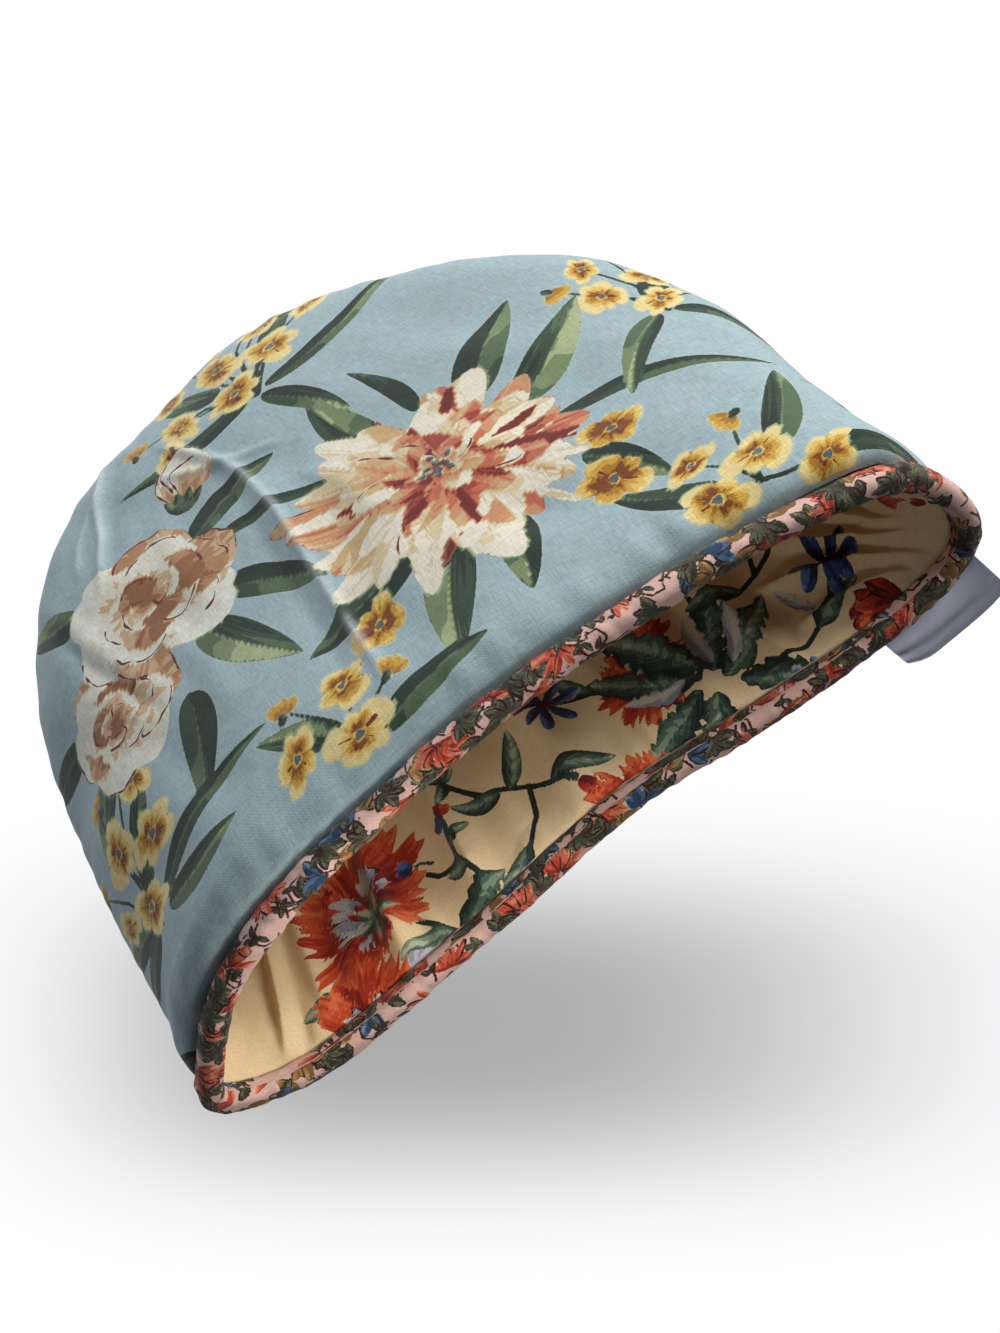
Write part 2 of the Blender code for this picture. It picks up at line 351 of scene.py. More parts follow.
    def bulge(self, x: np.ndarray, z: np.ndarray) -> np.ndarray:
        """Give how far the hand-sewn outline strays out from the even one, as a share.

        Args:
            x: Places along the hem, in millimetres.
            z: Heights, in millimetres.

        Returns:
            The share by which each point moves out from the hem's middle.
        """
        angle = np.degrees(np.arctan2(x, z))
        stops, moves = zip(*self.uneven)
        moved = sum(np.interp(angle + step, stops, moves) for step in self.uneven_steps) / 3.0
        return moved / np.maximum(np.hypot(x, z), 1.0)

    def flat_tables(self, side: Side, layer: Layer) -> "FlatCloth":
        """Unroll a panel: measure its cloth along and up the dome.

        Args:
            side: Front or rear.
            layer: Which face of the cloth.

        Returns:
            Tables of flat cloth places over share and height.
        """
        share, height = np.meshgrid(
            np.linspace(-1.0, 1.0, TABLE_CELLS + 1), np.linspace(0.0, TABLE_TOP, TABLE_CELLS + 1)
        )
        points, _ = self.place(side, layer, share, height)
        along = np.linalg.norm(np.diff(points, axis=1), axis=2)
        rising = np.linalg.norm(np.diff(points[..., 1:], axis=0), axis=2)
        across = np.pad(np.cumsum(along, axis=1), ((0, 0), (1, 0)))
        across -= across[:, TABLE_CELLS // 2, None]
        return FlatCloth(across, np.pad(np.cumsum(rising, axis=0), ((1, 0), (0, 0))))


@dataclass(frozen=True)
class Spot:
    """Where points of a panel lie: places and way to the seam in millimetres, and two shares.

    The shares grow from nought to one: rounded from the seam inwards, over from the hem upwards.
    """

    x: np.ndarray
    z: np.ndarray
    to_seam: np.ndarray
    rounded: np.ndarray
    over: np.ndarray

    def round_seam(self) -> np.ndarray:
        """Give the distance along the arched seam that each point lies nearest to."""
        return np.arctan2(self.x, self.z) * SEAM_RADIUS


@dataclass(frozen=True)
class FlatCloth:
    """Tables that turn a place on a panel into its place on the flat cloth."""

    across: np.ndarray
    up: np.ndarray

    def read(self, share: np.ndarray, height: np.ndarray) -> tuple[np.ndarray, np.ndarray]:
        """Look flat places up.

        Args:
            share: Place along the hem from -1 to 1.
            height: Place up the dome from 0 to 1.

        Returns:
            Places across from the middle and up from the hem, in millimetres.
        """
        last = TABLE_CELLS - 0.001
        column = np.clip((share + 1.0) / 2.0 * TABLE_CELLS, 0.0, last)
        row = np.clip(height / TABLE_TOP * TABLE_CELLS, 0.0, last)
        c, r = column.astype(int), row.astype(int)
        fc, fr = column - c, row - r
        found = []
        for table in (self.across, self.up):
            low = table[r, c] * (1.0 - fc) + table[r, c + 1] * fc
            high = table[r + 1, c] * (1.0 - fc) + table[r + 1, c + 1] * fc
            found.append(low * (1.0 - fr) + high * fr)
        return found[0], found[1]


# ----------------------------------------------------------------------------------- meshes


def add_object(name: str, data: bpy.types.ID) -> bpy.types.Object:
    """Make an object of some data and link it to the scene.

    Args:
        name: Its name.
        data: Its mesh, curve, light or camera.

    Returns:
        The object.
    """
    thing = bpy.data.objects.new(name, data)
    bpy.context.scene.collection.objects.link(thing)
    return thing


def half_disc(columns: int, rows: int, straight: float) -> tuple[np.ndarray, np.ndarray]:
    """Spread a grid over a half disc without a pole.

    Args:
        columns: Cells along the hem.
        rows: Cells up the dome.
        straight: Share of even spacing; the rest crowds towards the edges.

    Returns:
        Places along (-1 to 1) and up (0 to 1), each of (rows + 1) by (columns + 1).
    """

    def eased(steps: int) -> np.ndarray:
        """Space steps evenly in part, and closer towards both ends for the rest."""
        share = np.linspace(0.0, 1.0, steps + 1)
        return straight * share + (1.0 - straight) * (1.0 - np.cos(math.pi * share)) / 2.0

    across, up = np.meshgrid(2.0 * eased(columns) - 1.0, eased(rows))
    sideways = across * np.sqrt(1.0 - up * up / 2.0)
    height = up * np.sqrt(1.0 - across * across / 2.0)
    room = np.sqrt(np.maximum(1e-9, 1.0 - height * height))
    share = np.where(height > TOP_POINT, 0.0, np.clip(sideways / room, -1.0, 1.0))
    return share, height


def grid_quads(rows: int, columns: int, first: int = 0) -> np.ndarray:
    """List the corner numbers of a grid's cells.

    Args:
        rows: Cells up.
        columns: Cells along.
        first: Number of the grid's first vertex.

    Returns:
        Four corners for each cell.
    """
    start = (np.arange(rows)[:, None] * (columns + 1) + np.arange(columns)[None]).ravel() + first
    return np.stack([start, start + 1, start + columns + 2, start + columns + 1], axis=1)


def rim(rows: int, columns: int, first: int = 0) -> np.ndarray:
    """List a grid's border vertices in order round it."""
    number = np.arange((rows + 1) * (columns + 1)).reshape(rows + 1, columns + 1) + first
    return np.concatenate([number[0, :-1], number[:-1, -1], number[-1, :0:-1], number[:0:-1, 0]])


class ClothMesh:
    """Gathers vertices and faces, and makes a finished smooth mesh of them."""

    def __init__(self, vertices: np.ndarray, quads: np.ndarray, triangles: np.ndarray) -> None:
        """Keep the parts.

        Args:
            vertices: Places in millimetres.
            quads: Four corners a row.
            triangles: Three corners a row.
        """
        self.vertices = vertices
        self.quads = quads
        self.triangles = triangles

    @classmethod
    def shell(cls, fine: np.ndarray, coarse: np.ndarray) -> "ClothMesh":
        """Close a fine face and a coarser face behind it into one shell.

        Args:
            fine: The shown face's grid, (rows + 1) by (columns + 1) by 3.
            coarse: The hidden face's grid, its cells a whole number of times larger.

        Returns:
            The shell, facing outwards.
        """
        rows, columns = fine.shape[0] - 1, fine.shape[1] - 1
        back_rows, back_columns = coarse.shape[0] - 1, coarse.shape[1] - 1
        ratio = rows // back_rows
        first = (rows + 1) * (columns + 1)
        quads = np.concatenate(
            [grid_quads(rows, columns), grid_quads(back_rows, back_columns, first)[:, ::-1]]
        )
        near, far = rim(rows, columns), rim(back_rows, back_columns, first)
        triangles = []
        for index in range(len(far)):
            this, after = far[index], far[(index + 1) % len(far)]
            run = [near[(index * ratio + step) % len(near)] for step in range(ratio + 1)]
            for step in range(ratio):
                corner = this if step < ratio // 2 else after
                triangles.append((run[step + 1], run[step], corner))
            triangles.append((run[ratio // 2], this, after))
        vertices = np.concatenate([fine.reshape(-1, 3), coarse.reshape(-1, 3)])
        made = cls(vertices, quads, np.array(triangles))
        if made.volume() < 0.0:
            made.quads = made.quads[:, ::-1]
            made.triangles = made.triangles[:, ::-1]
        return made

    def volume(self) -> float:
        """Measure the signed volume inside, in cubic millimetres.

        Returns:
            The volume; less than nought where the faces look inwards.
        """
        faces = np.concatenate([self.quads[:, [0, 1, 2]], self.quads[:, [0, 2, 3]], self.triangles])
        a, b, c = (self.vertices[faces[:, corner]] for corner in range(3))
        return float((a * np.cross(b, c)).sum() / 6.0)

    def build(self, name: str, sharp: float = 60.0) -> bpy.types.Object:
        """Make the object, with its place in its mesh.

        Args:
            name: The piece's name.
            sharp: Edges that bend by more degrees than this stay crisp.

        Returns:
            The object, in the scene.
        """
        mesh = bpy.data.meshes.new(name)
        faces = self.quads.tolist() + self.triangles.tolist()
        mesh.from_pydata((self.vertices * MM).tolist(), [], faces)
        mesh.update()
        mesh.shade_smooth()
        mesh.set_sharp_from_angle(angle=math.radians(sharp))
        return add_object(name, mesh)


def write_attribute(mesh: bpy.types.Mesh, name: str, values: np.ndarray, fill: float) -> None:
    """Store numbers on a mesh's vertices; hidden ones past the given values take the fill.

    Args:
        mesh: The mesh.
        name: The attribute's name.
        values: One row for each shown vertex, of one number or three.
        fill: The number for the rest.
    """
    wide = values.ndim > 1
    kind = "FLOAT_VECTOR" if wide else "FLOAT"
    whole = np.full((len(mesh.vertices), 3) if wide else len(mesh.vertices), fill, np.float32)
    whole[: len(values)] = values
    mesh.attributes.new(name, kind, "POINT").data.foreach_set(
        "vector" if wide else "value", whole.ravel()
    )


def write_uv(mesh: bpy.types.Mesh, across: np.ndarray, up: np.ndarray) -> None:
    """Give a mesh its flat cloth places, in metres, as its UV map.

    Args:
        mesh: The mesh.
        across: Flat places of all vertices across, in millimetres.
        up: Flat places of all vertices up, in millimetres.
    """
    corners = np.empty(len(mesh.loops), np.int32)
    mesh.loops.foreach_get("vertex_index", corners)
    places = np.stack([across[corners], up[corners]], axis=1) * MM
    mesh.uv_layers.new(name="flat_cloth").data.foreach_set("uv", places.astype(np.float32).ravel())


# ------------------------------------------------------------------------------------ print


class Ink(Enum):
    """The five inks of a print, from the lowest plate to the highest."""

    FIRST = 0
    SECOND = 1
    THIRD = 2
    LEAF = 3
    ACCENT = 4


FAR = 4.0
OVERPRINT = 0.2
BLEED = 0.55
PEN_REACH = 1.3
REPEAT_SEED = 1
MARGIN = 3.0
SHIFT_ACROSS = 31.0
SHIFT_ALONG = 77.0


class InkPlate:
    """A print drawn over flat cloth places: depths inside each ink, tones, strokes and pens."""

    def __init__(self, u: np.ndarray, v: np.ndarray) -> None:
        """Start with bare cloth.

        Args:
            u: Flat places across, in millimetres.
            v: Flat places up, in millimetres.
        """
        self.u, self.v = u.ravel(), v.ravel()
        count = len(self.u)
        self.depths = np.full((len(Ink), count), -FAR)
        self.tone = np.zeros(count)
        self.stroke = np.zeros((2, count))
        self.pen = np.full(count, FAR)
        self.pen_mask = np.full(count, -FAR)
        self.box = (self.u.min(), self.u.max(), self.v.min(), self.v.max())

    def near(self, u: float, v: float, reach: float) -> np.ndarray | None:
        """Find the places within a square of a spot.

        Args:
            u: The spot's place across.
            v: The spot's place up.
            reach: Half the square's side.

        Returns:
            The places' numbers, or None where there are none.
        """
        low_u, high_u, low_v, high_v = self.box
        if u + reach < low_u or u - reach > high_u or v + reach < low_v or v - reach > high_v:
            return None
        found = np.flatnonzero((np.abs(self.u - u) < reach) & (np.abs(self.v - v) < reach))
        return found if len(found) else None

    def stamp(
        self, ink: Ink, found: np.ndarray, depth: np.ndarray, tone: np.ndarray | float,
        across: np.ndarray, along: np.ndarray,
    ) -> None:
        """Print one shape over what is there.

        Args:
            ink: The shape's ink.
            found: Numbers of the places that may be reached.
            depth: How deep each lies inside the shape, in millimetres.
            tone: The ink's tone there, 0 dark to 1 light.
            across: Brush coordinate across the strokes.
            along: Brush coordinate along the strokes.
        """
        depth = np.clip(depth, -FAR, FAR)
        level = ink.value
        self.depths[level, found] = np.maximum(self.depths[level, found], depth)
        cut = -(depth - OVERPRINT)
        for higher in range(level + 1, len(Ink)):
            self.depths[higher, found] = np.minimum(self.depths[higher, found], cut)
        self.pen_mask[found] = np.minimum(self.pen_mask[found], cut)
        inside = depth > -BLEED
        spots = found[inside]
        self.tone[spots] = np.broadcast_to(tone, depth.shape)[inside]
        self.stroke[0, spots] = across[inside]
        self.stroke[1, spots] = along[inside]

    def rule(self, found: np.ndarray, signed: np.ndarray, room: np.ndarray) -> None:
        """Draw a thin pen line where a signed distance passes nought.

        Args:
            found: Numbers of the places that may be reached.
            signed: Signed distance from the line, in millimetres.
            room: How far inside the line's own stretch each place lies; negative is off it.
        """
        mask = np.minimum(PEN_REACH - np.abs(signed), room)
        better = mask > self.pen_mask[found]
        spots = found[better]
        self.pen[spots] = signed[better]
        self.pen_mask[spots] = mask[better]


@dataclass(frozen=True)
class Brush:
    """Where and how large a motif is drawn: its root, its turn and its scale."""

    u: float
    v: float
    turn: float = 0.0
    scale: float = 1.0

    def moved(self, right: float, up: float, turn: float = 0.0, scale: float = 1.0) -> "Brush":
        """Give a brush at a place measured from this one, in this one's own frame.

        Args:
            right: Millimetres to the right before turning.
            up: Millimetres up before turning.
            turn: Extra turn in degrees.
            scale: Extra scale.

        Returns:
            The new brush.
        """
        a = math.radians(self.turn)
        u = self.u + self.scale * (right * math.cos(a) - up * math.sin(a))
        v = self.v + self.scale * (right * math.sin(a) + up * math.cos(a))
        return Brush(u, v, self.turn + turn, self.scale * scale)


@dataclass(frozen=True)
class Petal:
    """A fan petal that widens from its root to a rounded or toothed rim."""

    length: float
    spread: float
    tones: tuple[float, float] = (0.1, 0.9)
    teeth: tuple[float, float] = (0.0, 0.0)
    curl: float = 0.0
    side: float = 0.12
    lined: float = 0.0
    round_off: float = 0.3

    def draw(self, plate: InkPlate, ink: Ink, brush: Brush, seed: float) -> None:
        """Print the petal.

        Args:
            plate: The plate to print on.
            ink: The petal's ink.
            brush: Its root, with its axis along the brush's up direction.
            seed: Shifts its brush strokes.
        """
        length = self.length * brush.scale
        found = plate.near(brush.u, brush.v, length * 1.3 + MARGIN)
        if found is None:
            return
        x, y = plate.u[found] - brush.u, plate.v[found] - brush.v
        reach = np.hypot(x, y)
        angle = np.arctan2(y, x) - math.radians(brush.turn + 90.0) - self.curl * reach / length
        angle = (angle + math.pi) % (2.0 * math.pi) - math.pi
        spread = math.radians(self.spread)
        place = angle / spread
        count, cut = self.teeth
        edge = length * (1.0 - self.round_off * place * place)
        if count:
            phase = place * count + seed + 0.3 * np.sin(place * 3.7 + seed * 5.0)
            bite = cut * (0.75 + 0.45 * np.sin(place * 6.0 + seed * 3.0))
            edge = edge * (1.0 - bite * (1.0 - np.abs((phase % 1.0) * 2.0 - 1.0)))
        edge = edge * (1.0 + 0.025 * np.sin(place * 5.0 + seed * 9.0))
        width = spread * np.sqrt(np.clip(reach / length, 0.02, 2.0)) * length * 0.75
        depth = np.minimum(edge - reach, (1.0 - np.abs(place)) * width * 0.9)
        share = np.clip(reach / np.maximum(edge, 1.0), 0.0, 1.0)
        tone = between(self.tones, share) + self.side * place
        plate.stamp(
            ink, found, depth, tone, angle * length * 0.8 + seed * SHIFT_ACROSS,
            reach + seed * SHIFT_ALONG,
        )
        if self.lined:
            room = np.minimum(depth + 1.6, (place * self.lined + 0.25) * length * 0.5)
            plate.rule(found, depth - 0.35, np.minimum(room, (share - 0.3) * length))


@dataclass(frozen=True)
class Leaf:
    """A leaf, blade or flame petal: a pointed shape about a bending midrib."""

    length: float
    width: float
    bend: float = 0.0
    tones: tuple[float, float] = (0.35, 0.75)
    teeth: tuple[float, float] = (0.0, 0.0)
    split: float = 0.22
    belly: float = 0.42
    veins: float = 0.8
    lined: float = 0.0
    rib: float = 0.0
    glow: float = 0.0

    def draw(self, plate: InkPlate, ink: Ink, brush: Brush, seed: float) -> None:
        """Print the leaf.

        Args:
            plate: The plate to print on.
            ink: The leaf's ink.
            brush: Its root, with its midrib starting along the brush's up direction.
            seed: Shifts its brush strokes.
        """
        length, width = self.length * brush.scale, self.width * brush.scale
        a = math.radians(brush.turn)
        middle = (brush.u - math.sin(a) * length / 2, brush.v + math.cos(a) * length / 2)
        reach = length * (0.56 + abs(self.bend)) + width + MARGIN
        found = plate.near(middle[0], middle[1], reach)
        if found is None:
            return
        x, y = plate.u[found] - brush.u, plate.v[found] - brush.v
        along = -x * math.sin(a) + y * math.cos(a)
        across = x * math.cos(a) + y * math.sin(a)
        t = along / length
        inside = np.clip(t, 0.0, 1.0)
        slope = 2.0 * self.bend * inside
        across = (across - self.bend * length * inside * inside) / np.sqrt(1.0 + slope * slope)
        peak = self.belly ** self.belly * (1.0 - self.belly) ** (1.0 - self.belly)
        shape = (inside ** self.belly * (1.0 - inside) ** (1.0 - self.belly) / peak) ** 1.35
        half = width / 2.0 * shape
        count, cut = self.teeth
        if count:
            phase = inside * count + np.where(across > 0.0, seed, seed + 0.4)
            phase = phase + 0.35 * np.sin(inside * 9.0 + seed * 5.0)
            half = half * (1.0 - cut * (phase % 1.0) ** 1.5)
        steep = 1.0 / np.sqrt(1.0 + (width / length * 1.2) ** 2)
        depth = (half - np.abs(across)) * steep
        depth = np.where(t < 0.0, np.minimum(depth, along), depth)
        depth = np.where(t > 1.0, np.minimum(depth, length - along), depth)
        tone = between(self.tones, inside)
        tone = tone + np.where(across > 0.0, self.split, -self.split)
        side = np.abs(across)
        tone = tone + self.glow * np.clip(1.0 - side / np.maximum(half, 0.5), 0.0, 1.0)
        ribs = np.exp(-((side / 0.8) ** 2)) * (inside < 0.86)
        spacing = max(5.0, 0.13 * length)
        comb = ((along - 0.9 * side + seed * 3.0) / spacing) % 1.0
        faint = 0.6 * (np.abs(comb - 0.5) < 0.7 / spacing) * (
            side < half * (0.5 + 0.2 * np.sin(seed))
        )
        faint = faint * (self.veins > 0.3)
        ribs = np.maximum(ribs, faint)
        tone = tone + self.rib * ribs
        plate.stamp(
            ink, found, depth, tone,
            along * self.veins - side * 0.9 + across * (1.0 - self.veins) + seed * SHIFT_ACROSS,
            along * (1.0 - self.veins * 0.4) + side * self.veins + seed * SHIFT_ALONG,
        )
        if self.lined:
            room = np.minimum(depth + 1.6, (across * self.lined + width * 0.12) * 2.0)
            room = np.minimum(room, np.minimum(inside - 0.08, 0.97 - inside) * length)
            plate.rule(found, depth - 0.3, room)


@dataclass(frozen=True)
class Blossom:
    """A small open flower seen from the front, of a few notched petals."""

    radius: float
    petals: int = 5
    notch: float = 0.3
    tones: tuple[float, float] = (0.2, 0.85)
    squash: float = 0.85
    heart: float = 0.15
    heart_tone: float = 0.8
    dashes: bool = True
    pointed: float = 0.7
    shift_along: float = 53.0

    def draw(self, plate: InkPlate, ink: Ink, brush: Brush, seed: float) -> None:
        """Print the blossom with its heart and the pen marks round it.

        Args:
            plate: The plate to print on.
            ink: The petals' ink.
            brush: Its middle and turn.
            seed: Shifts its strokes and shape.
        """
        radius = self.radius * brush.scale
        found = plate.near(brush.u, brush.v, radius * 1.35 + MARGIN)
        if found is None:
            return
        a = math.radians(brush.turn)
        x, y = plate.u[found] - brush.u, plate.v[found] - brush.v
        right = x * math.cos(a) + y * math.sin(a)
        up = (y * math.cos(a) - x * math.sin(a)) / self.squash
        reach = np.hypot(right, up)
        angle = np.arctan2(up, right)
        angle = angle + 0.20 * np.sin(angle * 2.0 + seed * 3.0) + 0.12 * np.sin(angle * 3.0 + seed)
        wave = np.abs(np.cos(self.petals * angle / 2.0))
        number = np.round(angle / (2.0 * math.pi) * self.petals)
        unlike = np.sin(number * 2.4 + seed * 7.0)
        edge = radius * (1.0 - self.notch + self.notch * wave ** self.pointed)
        ragged = 0.02 * np.sin(angle * 9.0 + seed * 5.0) + 0.012 * np.sin(angle * 17.0 + seed)
        edge = edge * (1.0 + 0.15 * unlike + ragged)
        depth = (edge - reach) * min(1.0, self.squash + 0.1)
        share = reach / edge
        tone = between(self.tones, np.clip(share, 0.0, 1.0) ** 1.1)
        patch = np.clip(np.sin(angle * 2.0 + seed * 4.0) * 1.6 + 0.4, 0.0, 1.0)
        tone = tone + 0.13 * unlike - 0.42 * np.exp(-((wave / 0.26) ** 2)) * (share > 0.25)
        tone = tone - 0.34 * patch * (share < 0.66 + 0.1 * unlike)
        plate.stamp(
            ink, found, depth, tone, angle * radius * 0.8 + seed * SHIFT_ACROSS,
            reach + seed * self.shift_along,
        )
        if self.dashes:
            middle = (angle * self.petals / (2.0 * math.pi) + 0.5) % 1.0 - 0.5
            signed = middle * 2.0 * math.pi / self.petals * reach
            room = np.minimum(reach - radius * 0.24, radius * (0.56 + 0.12 * unlike) - reach)
            room = np.where(np.abs(middle) < 0.3, room, -1.0)
            plate.rule(found, signed - 0.1 * radius * unlike * share, room)
        if self.heart:
            core = radius * self.heart * (1.0 + 0.2 * np.sin(angle * 3.0 + seed))
            plate.stamp(Ink.ACCENT, found, core - reach, self.heart_tone, right + seed * 11.0, up)


@dataclass(frozen=True)
class Stem:
    """A stem or tendril along a smooth line of points."""

    points: tuple[tuple[float, float], ...]
    width: float
    tone: float = 0.3
    taper: float = 0.35

    def draw(self, plate: InkPlate, ink: Ink, brush: Brush, seed: float) -> None:
        """Print the stem.

        Args:
            plate: The plate to print on.
            ink: The stem's ink.
            brush: The frame its points are measured in.
            seed: Shifts its tone.
        """
        line = [(spot.u, spot.v) for spot in (brush.moved(*point) for point in self.points)]
        reach = max(math.dist(line[0], spot) for spot in line) + self.width + MARGIN
        found = plate.near(line[0][0], line[0][1], reach)
        if found is None:
            return
        x, y = plate.u[found], plate.v[found]
        best = np.full(len(found), TOO_FAR)
        where = np.zeros(len(found))
        for index, (start, end) in enumerate(zip(line, line[1:])):
            run = (end[0] - start[0], end[1] - start[1])
            square = max(run[0] ** 2 + run[1] ** 2, 1e-6)
            share = ((x - start[0]) * run[0] + (y - start[1]) * run[1]) / square
            share = np.clip(share, 0.0, 1.0)
            away = np.hypot(x - start[0] - run[0] * share, y - start[1] - run[1] * share)
            where = np.where(away < best, (index + share) / (len(line) - 1), where)
            best = np.minimum(best, away)
        half = self.width * brush.scale / 2.0 * (1.0 - self.taper * where)
        plate.stamp(ink, found, half - best, self.tone + 0.2 * where, best, where * 20.0 + seed)


class Spray:
    """Draws whole flowers and sprays out of petals, leaves and stems."""

    def __init__(self, plate: InkPlate, seed: int) -> None:
        """Start a drawing.

        Args:
            plate: The plate to print on.
            seed: Makes its small unevenness.
        """
        self.plate = plate
        self.rng = np.random.default_rng(seed)

    def vary(self, spread: float) -> float:
        """Give a small seeded number about nought."""
        return float(self.rng.uniform(-spread, spread))

    def seed(self) -> float:
        """Give a seeded number for a shape's strokes."""
        return float(self.rng.uniform(0.0, 10.0))

    def put(self, kind: type, ink: Ink, *sizes: object, at: Brush, **looks: object) -> None:
        """Print a shape with strokes of its own.

        Args:
            kind: Petal, Leaf, Blossom or Stem.
            ink: Its ink.
            sizes: The shape's first values.
            at: Its place and turn.
            looks: The shape's other values.
        """
        kind(*sizes, **looks).draw(self.plate, ink, at, self.seed())

    def dabs(
        self, brush: Brush, ink: Ink, reach: tuple[float, float], tones: tuple[float, ...],
        count: int,
    ) -> None:
        """Lay slim brush dabs that point away from a flower's middle.

        Args:
            brush: The flower's middle.
            ink: The dabs' ink.
            reach: Least and most distance of their roots from the middle.
            tones: The tones to pick from.
            count: How many.
        """
        for _ in range(count):
            turn = float(self.rng.uniform(0.0, 360.0))
            root = brush.moved(0.0, 0.0, turn).moved(0.0, float(self.rng.uniform(*reach)))
            tone = float(self.rng.choice(tones))
            self.put(
                Leaf, ink, float(self.rng.uniform(13.0, 25.0)), float(self.rng.uniform(2.6, 4.6)),
                bend=self.vary(0.22), tones=(tone, tone), split=0.0, belly=0.55, veins=0.0,
                at=root.moved(0.0, 0.0, self.vary(14.0)),
            )

    def flame_bloom(self, brush: Brush) -> None:
        """Draw a great open bloom: rings of long wavy streaked petals, paler towards the rim.

        Args:
            brush: The flower's place and turn.
        """
        moods = ((0.60, 1.06), (0.36, 0.86), (0.10, 0.56))
        rings = (
            (17, 66.0, 17.0, (0.45, 0.35, 0.20)), (16, 57.0, 16.0, (0.35, 0.35, 0.30)),
            (14, 48.0, 14.5, (0.35, 0.30, 0.35)), (12, 39.0, 13.0, (0.25, 0.35, 0.40)),
            (10, 30.0, 11.0, (0.20, 0.30, 0.50)), (8, 21.0, 9.0, (0.15, 0.25, 0.60)),
            (6, 13.0, 7.0, (0.10, 0.20, 0.70)),
        )
        for ring, (count, length, width, chances) in enumerate(rings):
            for index in range(count):
                turn = 9.0 * ring + 360.0 * index / count + self.vary(7.0)
                low, high = moods[int(self.rng.choice(3, p=chances))]
                sway = 0.86 + 0.14 * math.cos(math.radians(turn - 60.0))
                self.put(
                    Leaf, Ink.FIRST, length * sway * (1.0 + self.vary(0.14)),
                    width * (1.0 + self.vary(0.2)), bend=self.vary(0.34),
                    tones=(low + self.vary(0.06), high + self.vary(0.08)), split=self.vary(0.14),
                    belly=0.58, veins=0.0, lined=1.0 if self.rng.random() < 0.12 else 0.0,
                    at=brush.moved(0.0, 0.8 * ring, turn),
                )
            if ring < 5:
                span = (length * 0.30, length * 0.58)
                self.dabs(brush, Ink.FIRST, span, (1.05, 1.05, 0.95, 0.05, 0.16), 9 - ring)
        for index in range(12):
            turn = math.radians(index * 137.5)
            reach = 1.2 + 0.5 * index
            spot = brush.moved(
                reach * math.cos(turn), 5.0 + reach * math.sin(turn), self.vary(90.0)
            )
            self.put(
                Leaf, Ink.ACCENT if index % 3 else Ink.LEAF, 4.2, 2.6, tones=(0.5, 0.9), veins=0.0,
                at=spot,
            )

    def cream_rose(self, brush: Brush) -> None:
        """Draw a full cream rose: broad petals that fold over a tan heart, with pen strokes.

        Args:
            brush: The flower's place and turn.
        """
        rings = (
            (6, 37.0, 40.0, (0.10, 1.05)), (5, 29.0, 44.0, (0.02, 1.00)),
            (5, 21.0, 46.0, (0.05, 0.92)), (4, 14.0, 52.0, (-0.02, 0.86)),
            (3, 8.5, 60.0, (0.0, 0.7)),
        )
        for ring, (count, length, spread, tones) in enumerate(rings):
            for index in range(count):
                turn = 25.0 * ring + 360.0 * index / count + self.vary(10.0)
                shade = 0.55 if self.rng.random() < 0.34 else 0.0
                self.put(
                    Petal, Ink.SECOND, length * (1.0 + self.vary(0.10)), spread,
                    tones=(tones[0] + self.vary(0.08), tones[1] - shade + self.vary(0.08)),
                    teeth=(1.5, 0.05), curl=self.vary(0.25) + 0.12, side=self.vary(0.22),
                    lined=float(self.rng.choice([-1.0, 0.0, 0.0, 1.0])), round_off=0.26,
                    at=brush.moved(0.0, 1.2 * ring, turn),
                )

    def rose_bud(self, brush: Brush) -> None:
        """Draw a half open bud on its calyx.

        Args:
            brush: The bud's place and turn.
        """
        for turn, length, tones in (
            (-30.0, 22.0, (0.1, 0.8)), (30.0, 21.0, (0.0, 0.7)), (0.0, 25.0, (0.25, 1.0)),
            (-14.0, 20.0, (0.1, 0.95)),
        ):
            self.put(
                Petal, Ink.SECOND, length, 30.0, tones, curl=-turn / 90.0, lined=1.0,
                at=brush.moved(0.0, 0.0, turn),
            )
        for turn in (-46.0, -14.0, 20.0, 52.0):
            self.put(
                Leaf, Ink.LEAF, 11.0, 4.0, bend=turn / 300.0, tones=(0.2, 0.5),
                at=brush.moved(0.0, -3.0, turn),
            )

    def gold_spray(self, brush: Brush, spots: Sequence[tuple[float, float, float]]) -> None:
        """Draw a spray of small gold blossoms with buds on fine stems.

        Args:
            brush: The spray's foot and turn.
            spots: Place right and up, and radius of each blossom.
        """
        for right, up, radius in spots:
            mid = (right * 0.35 + self.vary(2.0), up * 0.55)
            self.put(Stem, Ink.LEAF, ((0.0, 0.0), mid, (right, up)), 1.9, 0.25, at=brush)
        for right, up, radius in spots:
            spot = brush.moved(right, up, self.vary(180.0))
            if radius < 6.5:
                for turn in (-35.0, 0.0, 33.0):
                    self.put(
                        Petal, Ink.THIRD, radius * 1.5, 26.0, (0.1, 0.75), side=0.1,
                        at=spot.moved(0.0, -radius * 0.5, turn),
                    )
                self.put(
                    Leaf, Ink.LEAF, radius * 0.9, radius * 0.6, tones=(0.1, 0.4),
                    at=spot.moved(0.0, -radius * 0.9),
                )
                continue
            self.put(
                Blossom, Ink.THIRD, radius, petals=int(self.rng.choice([4, 5, 5])),
                squash=float(self.rng.uniform(0.58, 0.95)),
                notch=float(self.rng.uniform(0.26, 0.42)),
                tones=(0.24 + self.vary(0.1), 1.26 + self.vary(0.12)),
                heart_tone=float(self.rng.choice([0.75, 0.9])), at=spot,
            )

